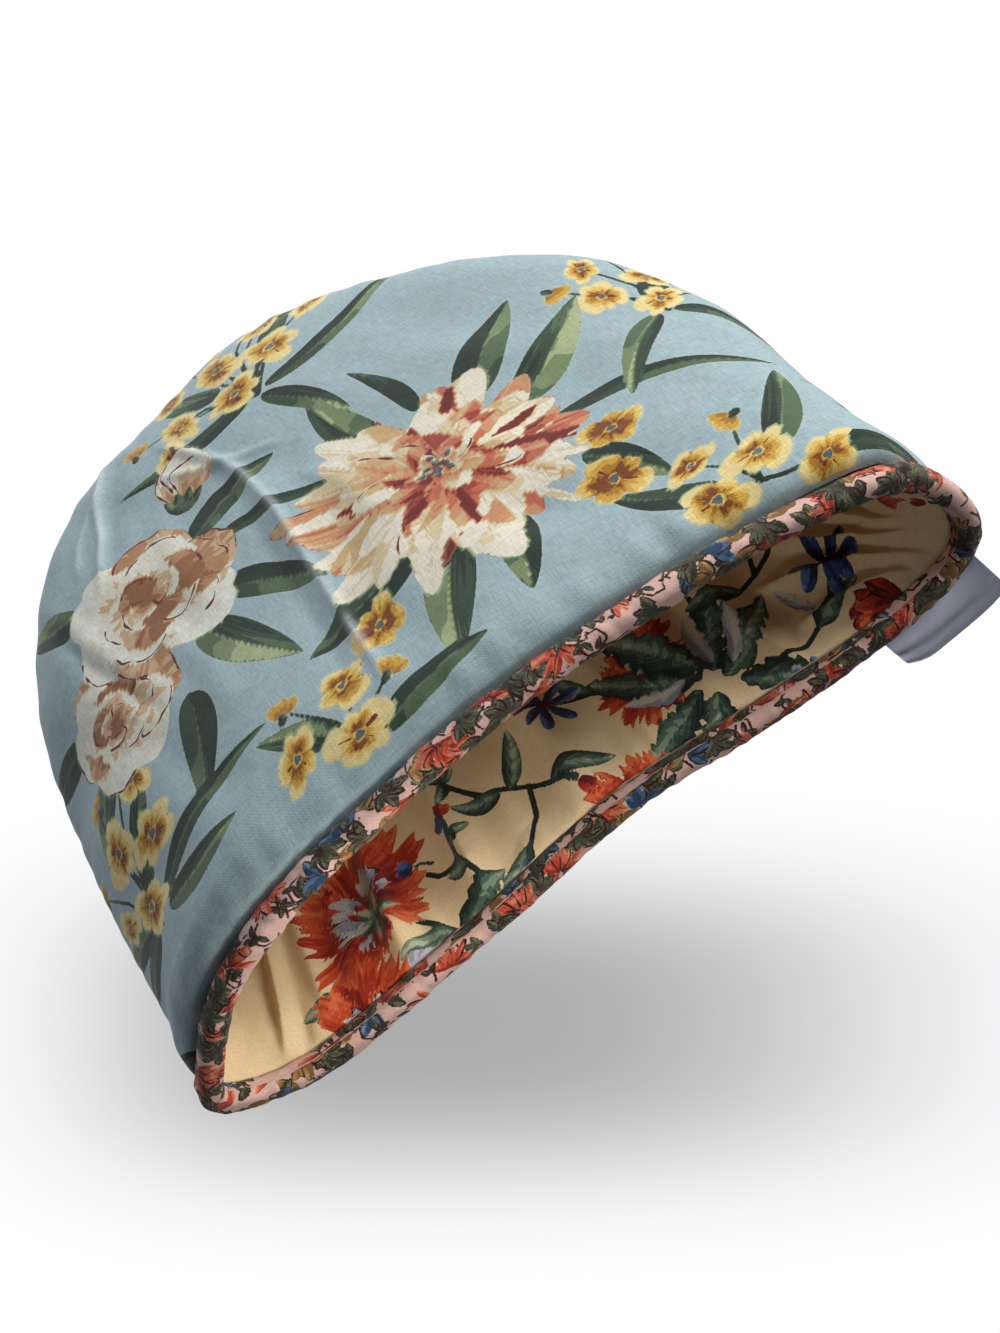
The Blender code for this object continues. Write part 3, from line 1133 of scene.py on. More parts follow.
    def leaves(self, brush: Brush, rows: Iterable[tuple[float, ...]], toothed: bool) -> None:
        """Draw leaves.

        Args:
            brush: The frame they are placed in.
            rows: Right, up, turn, length, width, bend and light of each.
            toothed: Whether their edges are cut.
        """
        for right, up, turn, length, width, bend, light in rows:
            at = brush.moved(right, up, turn)
            if toothed:
                self.put(
                    Leaf, Ink.LEAF, length, width, bend=bend, tones=(light - 0.05, light + 0.25),
                    teeth=(5.0, 0.42) if width > 11.5 else (0.0, 0.0), split=0.14, veins=0.6,
                    rib=-0.2, glow=0.62, at=at,
                )
            else:
                self.put(
                    Leaf, Ink.LEAF, length * 1.06, width * 0.78, bend=bend * 1.5, veins=0.0,
                    tones=(light - 0.2, light + 0.2), split=0.2, belly=0.36,
                    rib=0.22 * (width > 12.0), at=at,
                )

    def fringed_pink(self, brush: Brush) -> None:
        """Draw a ragged red pink, half open to the viewer, with cool inner cups and a green eye.

        Args:
            brush: The flower's place and turn.
        """
        rings = (
            (
                (-148.0, 21.0), (-112.0, 27.0), (-70.0, 33.0), (-32.0, 35.0), (8.0, 36.0),
                (46.0, 33.0), (88.0, 30.0), (128.0, 23.0), (176.0, 18.0),
            ),
            (
                (-124.0, 15.0), (-60.0, 22.0), (-14.0, 24.0), (30.0, 24.0), (74.0, 20.0),
                (140.0, 14.0),
            ),
        )
        for ring, row in enumerate(rings):
            for turn, length in row:
                at = brush.moved(0.0, 0.8 * ring, turn + self.vary(9.0))
                self.put(
                    Petal, Ink.FIRST, length * (1.0 + self.vary(0.13)), 25.0,
                    tones=(
                        (-0.05, 0.0)[ring] + self.vary(0.06), (0.98, 0.72)[ring] + self.vary(0.16)
                    ),
                    teeth=(2.6, 0.30), side=self.vary(0.3), curl=self.vary(0.35), round_off=0.12,
                    at=at,
                )
        for turn, length in (
            (-96.0, 14.0), (-44.0, 18.0), (0.0, 19.0), (48.0, 17.0), (100.0, 13.0)
        ):
            at = brush.moved(0.0, 1.0, turn + self.vary(12.0))
            self.put(
                Petal, Ink.SECOND, length, 24.0, tones=(0.1, 0.95 + self.vary(0.2)),
                teeth=(2.2, 0.34), curl=self.vary(0.4), side=0.2,
                lined=float(self.rng.choice([-1.0, 1.0])), round_off=0.1, at=at,
            )
        for turn in (-74.0, -20.0, 26.0, 76.0, 150.0):
            at = brush.moved(0.0, 0.0, turn + self.vary(14.0))
            self.put(
                Petal, Ink.FIRST, 12.0 + self.vary(2.0), 22.0, tones=(-0.1, 0.5), teeth=(2.0, 0.3),
                round_off=0.1, at=at,
            )
        for turn in (-150.0, -60.0, 10.0, 70.0, 165.0):
            self.put(
                Leaf, Ink.LEAF, 8.5 + self.vary(2.0), 4.6, bend=turn / 500.0, tones=(0.3, 0.9),
                veins=0.0, glow=0.3, at=brush.moved(0.0, -1.0, turn),
            )

    def red_tulip(self, brush: Brush) -> None:
        """Draw a closed red flower in side view: overlapping ragged petals on a calyx.

        Args:
            brush: The flower's place and turn.
        """
        for turn, length, light in (
            (-52.0, 25.0, 0.85), (50.0, 24.0, 0.95), (-26.0, 29.0, 0.6), (28.0, 28.0, 0.7),
            (0.0, 27.0, 1.0), (-12.0, 19.0, 0.35), (16.0, 17.0, 0.55),
        ):
            self.put(
                Petal, Ink.FIRST, length, 27.0, tones=(-0.1, light), teeth=(2.0, 0.16),
                curl=-turn / 75.0, side=self.vary(0.35), lined=float(self.rng.choice([-1.0, 1.0])),
                round_off=0.25, at=brush.moved(0.0, 0.0, turn + self.vary(5.0)),
            )
        for turn in (-70.0, -30.0, 14.0, 60.0, 178.0):
            self.put(
                Leaf, Ink.LEAF, 10.0, 4.2, bend=turn / 260.0, tones=(0.2, 0.7), veins=0.0, glow=0.3,
                at=brush.moved(0.0, -2.0, turn),
            )

    def cornflower(self, brush: Brush, radius: float) -> None:
        """Draw a dark blue flower of pointed petals round a maroon heart.

        Args:
            brush: The flower's place and turn.
            radius: Its petals' usual length.
        """
        for index in range(7):
            turn = 360.0 / 7.0 * index + self.vary(10.0)
            self.put(
                Leaf, Ink.THIRD, radius * (1.0 + self.vary(0.18)), radius * 0.36,
                tones=(0.08, 0.72 + self.vary(0.3)), split=0.2, belly=0.68, veins=0.0,
                bend=self.vary(0.12), at=brush.moved(0.0, 0.0, turn),
            )
        self.put(
            Blossom, Ink.ACCENT, radius * 0.24, petals=5, heart=0.0, dashes=False, tones=(0.0, 0.3),
            at=brush,
        )

    def small_bud(self, brush: Brush, ink: Ink) -> None:
        """Draw a tiny bud on a short stem.

        Args:
            brush: The bud's place and turn.
            ink: Its ink.
        """
        self.put(Stem, Ink.LEAF, ((0.0, -9.0), (1.2, -4.0), (0.0, 0.0)), 1.5, 0.25, at=brush)
        for turn in (-26.0, 24.0, 0.0):
            self.put(
                Leaf, ink, 6.5, 3.6, tones=(0.2, 0.75), veins=0.0, at=brush.moved(0.0, -0.5, turn)
            )


def repeated(
    plate: InkPlate, draw: Callable[["Spray", Brush], None], repeat: tuple[float, float],
    shift: tuple[float, float],
) -> None:
    """Print a design again and again over the cloth.

    Args:
        plate: The plate.
        draw: Draws one repeat about a brush.
        repeat: The repeat's width and height, in millimetres.
        shift: Where the first repeat's middle lies.
    """
    low_u, high_u, low_v, high_v = plate.box
    for row in range(-2, 4):
        for column in range(-3, 4):
            u = shift[0] + column * repeat[0]
            v = shift[1] + row * repeat[1]
            if low_u - repeat[0] < u < high_u + repeat[0]:
                if low_v - repeat[1] < v < high_v + repeat[1]:
                    draw(Spray(plate, REPEAT_SEED), Brush(u, v))


class PrintDesign(Enum):
    """The two large cottons' designs; the value holds the repeat's width and height."""

    GARDEN = (352.0, 330.0)
    SPRIGS = (334.0, 128.0)

    def print_on(self, plate: InkPlate, shift: tuple[float, float]) -> None:
        """Print the design over a plate.

        Args:
            plate: The plate to print on.
            shift: Where the first repeat's middle lies on the cloth.
        """
        draw = draw_garden if self is PrintDesign.GARDEN else draw_sprigs
        repeated(plate, draw, self.value, shift)


# Each cluster's place right and up, and its leaves: right, up, turn, length, width, bend, light.
GARDEN_LEAVES = {
    "bloom": (30, -52, (
        (-24, -22, 112, 52, 25, 0.1, 0.3), (-14, -32, 146, 54, 26, -0.12, 0.58),
        (4, -36, 176, 40, 20, 0.1, 0.34), (26, 30, -34, 56, 25, 0.12, 0.34),
        (36, 14, -64, 58, 24, -0.14, 0.6), (40, -6, -92, 74, 11, 0.22, 0.26),
        (-8, 40, 18, 48, 22, 0.12, 0.5), (10, 44, -10, 44, 11, -0.2, 0.22),
        (38, -34, -138, 34, 17, 0.12, 0.44),
    )),
    "roses": (-78, 2, (
        (20, -22, -126, 46, 21, 0.14, 0.32), (6, -30, -166, 54, 24, -0.12, 0.56),
        (-12, -56, 172, 48, 22, 0.12, 0.28), (-52, -46, 126, 46, 20, -0.14, 0.58),
        (-58, -22, 86, 44, 20, 0.12, 0.3), (24, 14, -66, 44, 20, 0.14, 0.34),
        (26, 2, -92, 56, 10, 0.22, 0.28), (-26, 22, 52, 46, 20, 0.12, 0.52),
    )),
    "top": (6, 62, (
        (4, 2, -84, 84, 13, -0.2, 0.3), (-4, 2, 104, 60, 12, 0.22, 0.24),
        (0, -2, -142, 42, 15, 0.16, 0.48), (-10, 20, 60, 34, 16, 0.14, 0.6),
        (14, 26, -40, 34, 16, -0.14, 0.34),
    )),
    "left": (-148, -118, (
        (6, 4, -60, 66, 13, 0.2, 0.28), (-2, 4, 62, 52, 17, -0.14, 0.56),
        (-4, 2, 104, 44, 16, 0.14, 0.32), (8, 0, -104, 40, 17, -0.14, 0.42),
        (2, 18, -24, 44, 16, 0.12, 0.34),
    )),
    "right": (134, -34, (
        (2, 0, -120, 50, 12, 0.22, 0.3), (-4, 0, 122, 46, 15, -0.2, 0.54),
        (0, 12, -30, 30, 14, 0.14, 0.36),
    )),
    "rim": (106, -142, (
        (-10, 4, 66, 40, 16, 0.2, 0.3), (12, 10, -44, 44, 18, -0.16, 0.52),
        (18, 0, -84, 48, 12, 0.2, 0.28),
    )),
    "rim_left": (-48, -136, (
        (6, -2, -72, 44, 17, 0.16, 0.32), (-4, 6, 34, 36, 16, -0.14, 0.52),
    )),
}
# The cluster each spray grows from, its turn, and its blossoms: right, up, radius.
GOLD_SPRAYS = (
    ("top", 12, (
        (-4, 12, 13), (-27, 24, 12), (22, 22, 13.5), (2, 37, 13), (-21, 50, 11.5), (28, 46, 12.5),
        (48, 34, 11), (5, 64, 11.5), (-46, 36, 6.4), (34, 68, 6.4), (-40, 12, 10.5), (58, 56, 6),
        (-12, 78, 6.2),
    )),
    ("left", 10, (
        (0, 12, 14), (22, 26, 13.5), (-20, 28, 12.5), (4, 42, 13), (30, 52, 11.5), (-24, 54, 6.4),
        (10, 66, 6.4), (38, 74, 6),
    )),
    ("right", -16, (
        (0, 10, 12.5), (20, 20, 11.5), (-19, 22, 12), (2, 33, 12), (-20, 45, 10), (22, 42, 10.5),
        (4, 55, 9.5), (-34, 34, 6.2), (20, 62, 6), (-10, 70, 5.8),
    )),
    ("rim", 0, (
        (-16, 2, 12.5), (6, 12, 14), (24, -2, 13), (-14, 24, 11), (8, 34, 6.4),
    )),
    ("rim_left", 0, (
        (0, 4, 13.5), (-22, 14, 12.5), (4, 27, 11), (-18, 36, 6.4), (20, 18, 6.2),
    )),
)


def draw_garden(spray: Spray, at: Brush) -> None:
    """Draw one repeat of the outer cotton's garden flowers about its middle.

    Args:
        spray: Draws the motifs.
        at: The repeat's middle.
    """
    for right, up, rows in GARDEN_LEAVES.values():
        spray.leaves(at.moved(right, up), rows, False)
    for name, turn, spots in GOLD_SPRAYS:
        right, up, _ = GARDEN_LEAVES[name]
        spray.gold_spray(at.moved(right, up, turn), spots)
    spray.rose_bud(at.moved(-46.0, 38.0, -30.0, 1.25))
    spray.cream_rose(at.moved(-116.0, -32.0, 70.0, 0.92))
    spray.cream_rose(at.moved(-78.0, 2.0, 20.0, 1.12))
    spray.flame_bloom(at.moved(30.0, -52.0, 12.0))
    for right, up, turn, radius in (
        (70.0, -104.0, 20.0, 13.5), (-22.0, -96.0, 50.0, 12.5), (82.0, -82.0, 0.0, 12.0)
    ):
        spray.put(Blossom, Ink.THIRD, radius, squash=0.85, at=at.moved(right, up, turn))


SPRIG_STEMS = (
    ((-84, -10), (-70, -26), (-58, -44)), ((-40, 18), (-30, 2), (-14, -8), (2, -22)),
    ((-14, -8), (-18, -20), (-28, -30)), ((8, 14), (24, 8), (38, -4), (58, -16)),
    ((58, -16), (72, 6), (78, 32)), ((66, -8), (84, 8), (100, 14), (108, 34)),
    ((122, -4), (112, -18), (96, -26), (72, -24)), ((100, 14), (116, 22), (134, 26)),
    ((-46, -26), (-50, -14), (-48, -2)), ((-50, -14), (-60, -10), (-66, -2)),
)
# Right, up, turn, length, width, bend and light of each leaf.
SPRIG_LEAVES = (
    (58, -14, 62, 42, 17, 0.16, 0.1), (60, -12, 22, 44, 18, -0.14, 0.16),
    (64, -14, -20, 40, 17, 0.16, 0.06), (66, -18, -62, 38, 16, -0.14, 0.2),
    (56, -20, 108, 36, 16, -0.16, 0.12), (60, -24, 150, 32, 15, 0.14, 0.22),
    (70, -22, -118, 34, 15, 0.14, 0.1), (-64, -34, -64, 26, 12, 0.2, 0.16),
    (-66, -32, 70, 22, 8, -0.2, 0.3), (-24, -4, 74, 20, 7.5, 0.2, 0.2),
    (-20, -4, -40, 24, 8, -0.2, 0.3), (-6, -14, -96, 24, 8.5, 0.2, 0.16),
    (-26, -28, 120, 20, 8, 0.2, 0.26), (24, 8, 40, 18, 7, 0.2, 0.2),
    (92, 10, 60, 22, 8.5, -0.2, 0.14), (104, -22, -60, 24, 9, 0.2, 0.18),
    (-108, -22, 100, 22, 9, 0.16, 0.2), (-50, -8, -60, 12, 4.6, 0.1, 0.3),
    (-48, -20, 60, 12, 4.6, 0.1, 0.24), (30, 46, 60, 32, 14, 0.16, 0.14),
    (-78, 52, -30, 30, 14, -0.16, 0.2), (140, 54, 40, 28, 13, 0.16, 0.16),
)
# Right, up, turn, length, width and bend of each leaf.
PALE_LEAVES = (
    (66, -10, 4, 26, 9, 0.2), (72, -14, -40, 25, 8, -0.2), (54, -12, 88, 24, 8, 0.2),
    (-94, -34, -74, 20, 7, 0.2), (108, -14, 30, 18, 6, 0.1),
)
# Right, up, turn and ink of each bud.
SPRIG_BUDS = (
    (-48, 0, 10, Ink.THIRD), (-67, 1, 60, Ink.THIRD), (-46, 3, -20, Ink.FIRST),
    (109, 36, -10, Ink.FIRST), (136, 27, -70, Ink.FIRST), (-29, -32, 140, Ink.THIRD),
    (2, -24, 210, Ink.FIRST), (80, 34, 0, Ink.THIRD), (38, 30, 40, Ink.FIRST),
    (-118, 44, 10, Ink.THIRD), (0, 50, -20, Ink.THIRD),
)


def draw_sprigs(spray: Spray, at: Brush) -> None:
    """Draw one repeat of the lining's red, blue and green sprigs about its middle.

    Args:
        spray: Draws the motifs.
        at: The repeat's middle.
    """
    for points in SPRIG_STEMS:
        spray.put(Stem, Ink.LEAF, points, 2.3, 0.1, 0.15, at=at)
    spray.fringed_pink(at.moved(48.0, -2.0, 34.0, 0.78))
    spray.leaves(at, SPRIG_LEAVES, True)
    for right, up, turn, length, width, bend in PALE_LEAVES:
        spray.put(
            Leaf, Ink.SECOND, length, width, bend=bend, tones=(0.4, 0.9), teeth=(4.0, 0.4),
            veins=0.4, glow=0.3, at=at.moved(right, up, turn),
        )
    for right, up, turn, scale in (
        (-88.0, -6.0, 24.0, 1.06), (-110.0, -40.0, -36.0, 0.72), (18.0, -44.0, 60.0, 0.66),
        (-18.0, 64.0, 20.0, 0.9), (96.0, 62.0, -30.0, 0.9),
    ):
        spray.fringed_pink(at.moved(right, up, turn, scale))
    spray.red_tulip(at.moved(-40.0, 20.0, 8.0, 1.0))
    spray.red_tulip(at.moved(134.0, -38.0, 60.0, 0.8))
    for right, up, turn, radius in (
        (8.0, 14.0, 10.0, 12.0), (122.0, -2.0, 4.0, 14.5), (92.0, -40.0, 24.0, 10.0)
    ):
        spray.cornflower(at.moved(right, up, turn), radius)
    for right, up, turn, ink in SPRIG_BUDS:
        spray.small_bud(at.moved(right, up, turn), ink)


# Leaf rosettes (l), petals (p), small twin leaves (g), and ochre (o) and blue (b) buds.
VINE_ORDER = "lpglolgbplgolpg"
VINE_STEP = (9.8, 8.4)


def draw_vines(spray: Spray, length: float, half: float) -> None:
    """Draw the binding's crowded small vines along the whole strip.

    Args:
        spray: Draws the motifs.
        length: The strip's length.
        half: Half its girth.
    """
    for column in range(round(length / VINE_STEP[0])):
        for row in range(-2, 3):
            middle = column * VINE_STEP[0] + 4.0 * (row % 2) + spray.vary(2.2)
            up = row * VINE_STEP[1] + spray.vary(1.6)
            kind = VINE_ORDER[(column * 4 + row * 7) % len(VINE_ORDER)]
            at = Brush(middle, up, spray.vary(180.0))
            if abs(up) > half + 5.0:
                continue
            spray.put(
                Stem, Ink.ACCENT, ((0.0, 0.0), (3.4, 5.0), (0.5, 9.5), (-4.0, 10.0), (-5.5, 7.0)),
                1.05, 0.5, 0.3, at=at,
            )
            if kind == "l":
                for spread in (-130.0, -84.0, -40.0, 4.0, 48.0, 92.0):
                    spray.put(
                        Leaf, Ink.LEAF, 8.4 + spray.vary(1.2), 5.0, bend=spray.vary(0.15),
                        tones=(0.15, 0.7), teeth=(2.4, 0.3), lined=1.0, split=0.22,
                        at=at.moved(0.0, 0.5, spread + spray.vary(8.0)),
                    )
            elif kind == "p":
                for spread in range(-84, 96, 21):
                    spray.put(
                        Leaf, Ink.FIRST, 10.2 + spray.vary(2.0), 2.7, tones=(0.0, 0.9), split=0.2,
                        veins=0.0, belly=0.6, bend=spray.vary(0.3),
                        lined=1.0 if spread % 2 else 0.0, at=at.moved(0.0, 0.0, spread),
                    )
            elif kind in "ob":
                ink = Ink.SECOND if kind == "o" else Ink.THIRD
                for spread in (-58.0, 52.0, -4.0):
                    spray.put(
                        Leaf, ink, 9.2 + spray.vary(1.2), 4.9, tones=(0.1, 0.9), lined=1.0,
                        veins=0.0, bend=spray.vary(0.25), split=0.2, at=at.moved(0.0, 0.0, spread),
                    )
            else:
                for spread in (-50.0, 40.0):
                    spray.put(
                        Leaf, Ink.LEAF, 5.0, 2.4, tones=(0.2, 0.7), lined=1.0, bend=0.2,
                        at=at.moved(1.0, 4.0, spread),
                    )


# --------------------------------------------------------------------------------- finishes


def linear(red: float, green: float, blue: float) -> tuple[float, float, float, float]:
    """Turn a colour of 0 to 255 screen values into the shader's linear one.

    Args:
        red: Its red.
        green: Its green.
        blue: Its blue.

    Returns:
        The linear colour, with full alpha.
    """

    def one(value: float) -> float:
        """Turn one value."""
        share = value / 255.0
        return share / 12.92 if share <= 0.04045 else ((share + 0.055) / 1.055) ** 2.4

    return (one(red), one(green), one(blue), 1.0)


class NodeBench:
    """Adds and links nodes of one material or world in few words."""

    def __init__(self, tree: bpy.types.NodeTree) -> None:
        """Start on a tree."""
        self.tree = tree

    def node(self, kind: str, feeds: dict | None = None, **settings: object) -> bpy.types.Node:
        """Add a node.

        Args:
            kind: Its type.
            feeds: Sockets or values for its inputs, by name or number.
            settings: Its properties.

        Returns:
            The node.
        """
        made = self.tree.nodes.new(kind)
        for key, value in settings.items():
            setattr(made, key, value)
        for key, value in (feeds or {}).items():
            self.feed(made.inputs[key], value)
        return made

    def feed(self, socket: bpy.types.NodeSocket, value: object) -> None:
        """Link a socket to another, or set its number or colour.

        Args:
            socket: The socket to feed.
            value: A socket, number or colour.
        """
        if isinstance(value, bpy.types.NodeSocket):
            self.tree.links.new(value, socket)
        else:
            socket.default_value = value

    @classmethod
    def for_cloth(
        cls, name: str
    ) -> "tuple[NodeBench, bpy.types.Material, bpy.types.Node, bpy.types.NodeSocket]":
        """Start a cloth's material.

        Args:
            name: The material's name.

        Returns:
            Its bench, the material, its shader, and the flat cloth place in millimetres.
        """
        made = bpy.data.materials.new(name)
        made.use_nodes = True
        bench = cls(made.node_tree)
        flat = bench.node("ShaderNodeUVMap", uv_map="flat_cloth").outputs[0]
        place = bench.node("ShaderNodeVectorMath", {0: flat, "Scale": 1.0 / MM}, operation="SCALE")
        return bench, made, made.node_tree.nodes["Principled BSDF"], place.outputs[0]

    def finish(self, shader: bpy.types.Node, **looks: object) -> None:
        """Set a shader's looks.

        Args:
            shader: The shader.
            looks: Sockets or values for its inputs, with low lines for spaces.
        """
        for key, value in looks.items():
            self.feed(shader.inputs[key.replace("_", " ")], value)

    def bump(
        self, strength: float, distance: float, height: object, under: object = None
    ) -> bpy.types.NodeSocket:
        """Raise a surface.

        Args:
            strength: How much of it shows.
            distance: How far a height of one stands up, in metres.
            height: The height.
            under: The direction of the surface beneath, where another bump lies under this.

        Returns:
            The raised surface's direction.
        """
        feeds = {"Strength": strength, "Distance": distance, "Height": height}
        if under is not None:
            feeds["Normal"] = under
        return self.node("ShaderNodeBump", feeds).outputs[0]

    def math(self, operation: str, first: object, second: object = 0.0) -> bpy.types.NodeSocket:
        """Do one sum."""
        return self.node("ShaderNodeMath", {0: first, 1: second}, operation=operation).outputs[0]

    def attribute(self, name: str) -> bpy.types.Node:
        """Read an attribute of the mesh."""
        return self.node("ShaderNodeAttribute", attribute_name=name)

    def split(self, vector: object) -> bpy.types.Node:
        """Take a vector apart."""
        return self.node("ShaderNodeSeparateXYZ", {0: vector})

    def join(self, x: object, y: object, z: object = 0.0) -> bpy.types.NodeSocket:
        """Put a vector together."""
        return self.node("ShaderNodeCombineXYZ", {0: x, 1: y, 2: z}).outputs[0]

    def noise(self, vector: object, scale: float, detail: float = 2.0) -> bpy.types.NodeSocket:
        """Read noise, from 0 to 1."""
        feeds = {"Vector": vector, "Scale": scale, "Detail": detail}
        return self.node("ShaderNodeTexNoise", feeds).outputs["Fac"]

    def edge(self, value: object, half: float, middle: object = 0.0) -> bpy.types.NodeSocket:
        """Turn a depth into a mask with a narrow soft edge.

        Args:
            value: The depth.
            half: Half the soft edge's width.
            middle: The depth at the edge's middle.

        Returns:
            The mask, from 0 to 1.
        """
        feeds = {"Value": self.math("SUBTRACT", value, middle), "From Min": -half, "From Max": half}
        made = self.node("ShaderNodeMapRange", feeds, interpolation_type="SMOOTHSTEP")
        return made.outputs["Result"]

    def ramp(
        self, value: object, inks: Sequence[tuple], stops: Sequence[float]
    ) -> bpy.types.NodeSocket:
        """Pick one of a few flat inks by tone.

        Args:
            value: The tone, from 0 to 1.
            inks: Screen colours, dark to light.
            stops: The tone at which each begins.

        Returns:
            The colour.
        """
        made = self.node("ShaderNodeValToRGB", {"Fac": value})
        made.color_ramp.interpolation = "CONSTANT"
        elements = made.color_ramp.elements
        while len(elements) < len(inks):
            elements.new(0.5)
        for element, stop, ink in zip(elements, stops, inks):
            element.position = stop
            element.color = linear(*ink)
        return made.outputs["Color"]

    def mix(
        self, share: object, first: object, second: object, blend: str = "MIX"
    ) -> bpy.types.NodeSocket:
        """Mix two colours.

        Args:
            share: The second's share.
            first: The first colour.
            second: The second.
            blend: How they mix.

        Returns:
            The mixed colour.
        """
        feeds = {"Factor": share, "A": first, "B": second}
        made = self.node("ShaderNodeMix", feeds, data_type="RGBA", blend_type=blend)
        return made.outputs["Result"]


@dataclass(frozen=True)
class InkSet:
    """One ink's few flat tones, dark to light, and how strongly the brush streaks them."""

    tones: tuple[tuple[float, float, float], ...]
    streak: float = 0.5
    fine: float = 0.55
    long: float = 0.07
    halo: float = 0.0


@dataclass(frozen=True)
class PrintedCotton:
    """A plain-weave printed cotton: its ground, inks, pen colour and threads."""

    name: str
    ground: tuple[float, float, float]
    inks: tuple[InkSet, ...]
    pen: tuple[float, float, float]
    pen_width: float = 0.33
    thread: float = 0.36
    weave: float = 0.4
    slub: float = 228.0
    wrinkle: float = 0.3
    thread_height: float = 0.00012
    rumple_height: float = 0.0012
    roughness: float = 0.86
    sheen: float = 0.18
    bias: bool = False
    # Share of pale colour painted along sharp crease crests: a painted highlight, partly print worn
    # pale.
    crest_wear_and_highlight: float = 0.62
    halo: tuple[float, float, float] = (214, 216, 178)

    def material(self) -> bpy.types.Material:
        """Make the material.

        Returns:
            The finished material, which reads the plates' attributes and the flat UV map.
        """
        bench, made, shader, place = NodeBench.for_cloth(self.name)
        across, up = bench.split(place).outputs[:2]
        if self.bias:
            across, up = (
                bench.math("MULTIPLY", bench.math("ADD", across, up), 0.7071),
                bench.math("MULTIPLY", bench.math("SUBTRACT", up, across), 0.7071),
            )
        colour = self.printed(bench, place, across, up)
        threads, lift = self.threads(bench, across, up)
        shade = linear(self.slub, self.slub, self.slub)
        colour = bench.mix(threads, colour, bench.mix(1.0, colour, shade, "MULTIPLY"))
        fine = bench.math("MULTIPLY", bench.noise(place, 0.33, 2.0), 0.3)
        rumple = bench.math("ADD", bench.noise(place, 0.085, 3.0), fine)
        soft = bench.bump(self.wrinkle, self.rumple_height, rumple)
        bench.finish(
            shader, Base_Color=colour, Roughness=self.roughness, Sheen_Weight=self.sheen,
            Sheen_Roughness=0.45, Specular_IOR_Level=0.28,
            Normal=bench.bump(self.weave, self.thread_height, lift, soft),
        )
        return made

    def printed(
        self, bench: NodeBench, place: object, across: object, up: object
    ) -> bpy.types.NodeSocket:
        """Lay the inks and the pen over the ground, and paint a pale highlight along sharp crests.

        Args:
            bench: The material's bench.
            place: Flat cloth place in millimetres.
            across: Thread coordinate across.
            up: Thread coordinate up.

        Returns:
            The printed colour.
        """
        patch = bench.noise(place, 0.03, 3.0)
        fleck = bench.noise(bench.join(across, up), 1.6, 2.0)
        ground = bench.mix(patch, linear(*[0.955 * c for c in self.ground]), linear(*self.ground))
        light = tuple(min(255.0, 1.045 * c) for c in self.ground)
        colour = bench.mix(
            bench.edge(fleck, 0.1, 0.55), ground, bench.mix(0.6, ground, linear(*light))
        )
        low = bench.split(bench.attribute("inks_low").outputs["Vector"])
        high = bench.split(bench.attribute("inks_high").outputs["Vector"])
        stroke = bench.split(bench.attribute("stroke").outputs["Vector"])
        bleed = bench.math(
            "MULTIPLY", bench.math("SUBTRACT", bench.noise(place, 1.1, 2.0), 0.5), 0.9
        )
        depths = (*low.outputs[:3], *high.outputs[:2])
        for ink, depth in zip(self.inks, depths):
            brush = bench.join(
                bench.math("MULTIPLY", stroke.outputs[0], ink.fine),
                bench.math("MULTIPLY", stroke.outputs[1], ink.long),
            )
            streaks = bench.math("SUBTRACT", bench.noise(brush, 1.0, 2.5), 0.5)
            tone = bench.math(
                "ADD", stroke.outputs[2], bench.math("MULTIPLY", streaks, 2.0 * ink.streak)
            )
            count = len(ink.tones)
            stops = [0.0] + [0.10 + 0.80 * step / (count - 1) for step in range(1, count)]
            stain = bench.ramp(tone, ink.tones, stops)
            mask = bench.edge(bench.math("ADD", depth, bleed), 0.14)
            if ink.halo:
                rim = bench.edge(bench.math("ADD", depth, bleed), 0.35, -0.75)
                faint = bench.math("MULTIPLY", rim, ink.halo)
                colour = bench.mix(faint, colour, linear(*self.halo))
            colour = bench.mix(mask, colour, stain)
        pen = bench.attribute("pen").outputs["Fac"]
        swell = bench.math(
            "MULTIPLY", bench.math("SUBTRACT", bench.noise(place, 0.16, 1.0), 0.34),
            5.0 * self.pen_width,
        )
        line = bench.edge(bench.math("SUBTRACT", swell, bench.math("ABSOLUTE", pen)), 0.12)
        line = bench.math("MULTIPLY", line, bench.edge(high.outputs[2], 0.15, 0.1))
        colour = bench.mix(line, colour, linear(*self.pen))
        # Painted highlight: sharp crease crests are mixed towards a pale colour, standing for light
        # on the crest and partly for print worn pale.
        worn_and_lit = bench.math("MULTIPLY", bench.attribute("crest").outputs["Fac"], self.crest_wear_and_highlight)
        return bench.mix(worn_and_lit, colour, linear(222, 231, 236))

    def threads(
        self, bench: NodeBench, across: object, up: object
    ) -> tuple[bpy.types.NodeSocket, bpy.types.NodeSocket]:
        """Weave the threads.

        Args:
            bench: The material's bench.
            across: Thread coordinate across, in millimetres.
            up: Thread coordinate up, in millimetres.

        Returns:
            How dark the gaps and slubs are, and the weave's height.
        """
        rate = math.pi / self.thread
        warp = bench.math("SINE", bench.math("MULTIPLY", across, rate))
        weft = bench.math("SINE", bench.math("MULTIPLY", up, rate))
        over = bench.math("MULTIPLY", warp, weft)
        slub_across = bench.noise(
            bench.join(bench.math("MULTIPLY", across, 0.16), bench.math("MULTIPLY", up, 2.2)), 1.0
        )
        slub_up = bench.noise(
            bench.join(bench.math("MULTIPLY", across, 2.2), bench.math("MULTIPLY", up, 0.16), 7.0),
            1.0,
        )
        slubs = bench.math("ADD", slub_across, slub_up)
        dark = bench.math("ADD", bench.math("MULTIPLY", over, 0.16), slubs)
        lift = bench.math(
            "ADD", bench.math("MULTIPLY", over, 0.5), bench.math("MULTIPLY", slubs, 0.8)
        )
        return bench.edge(dark, 0.36, 1.0), lift


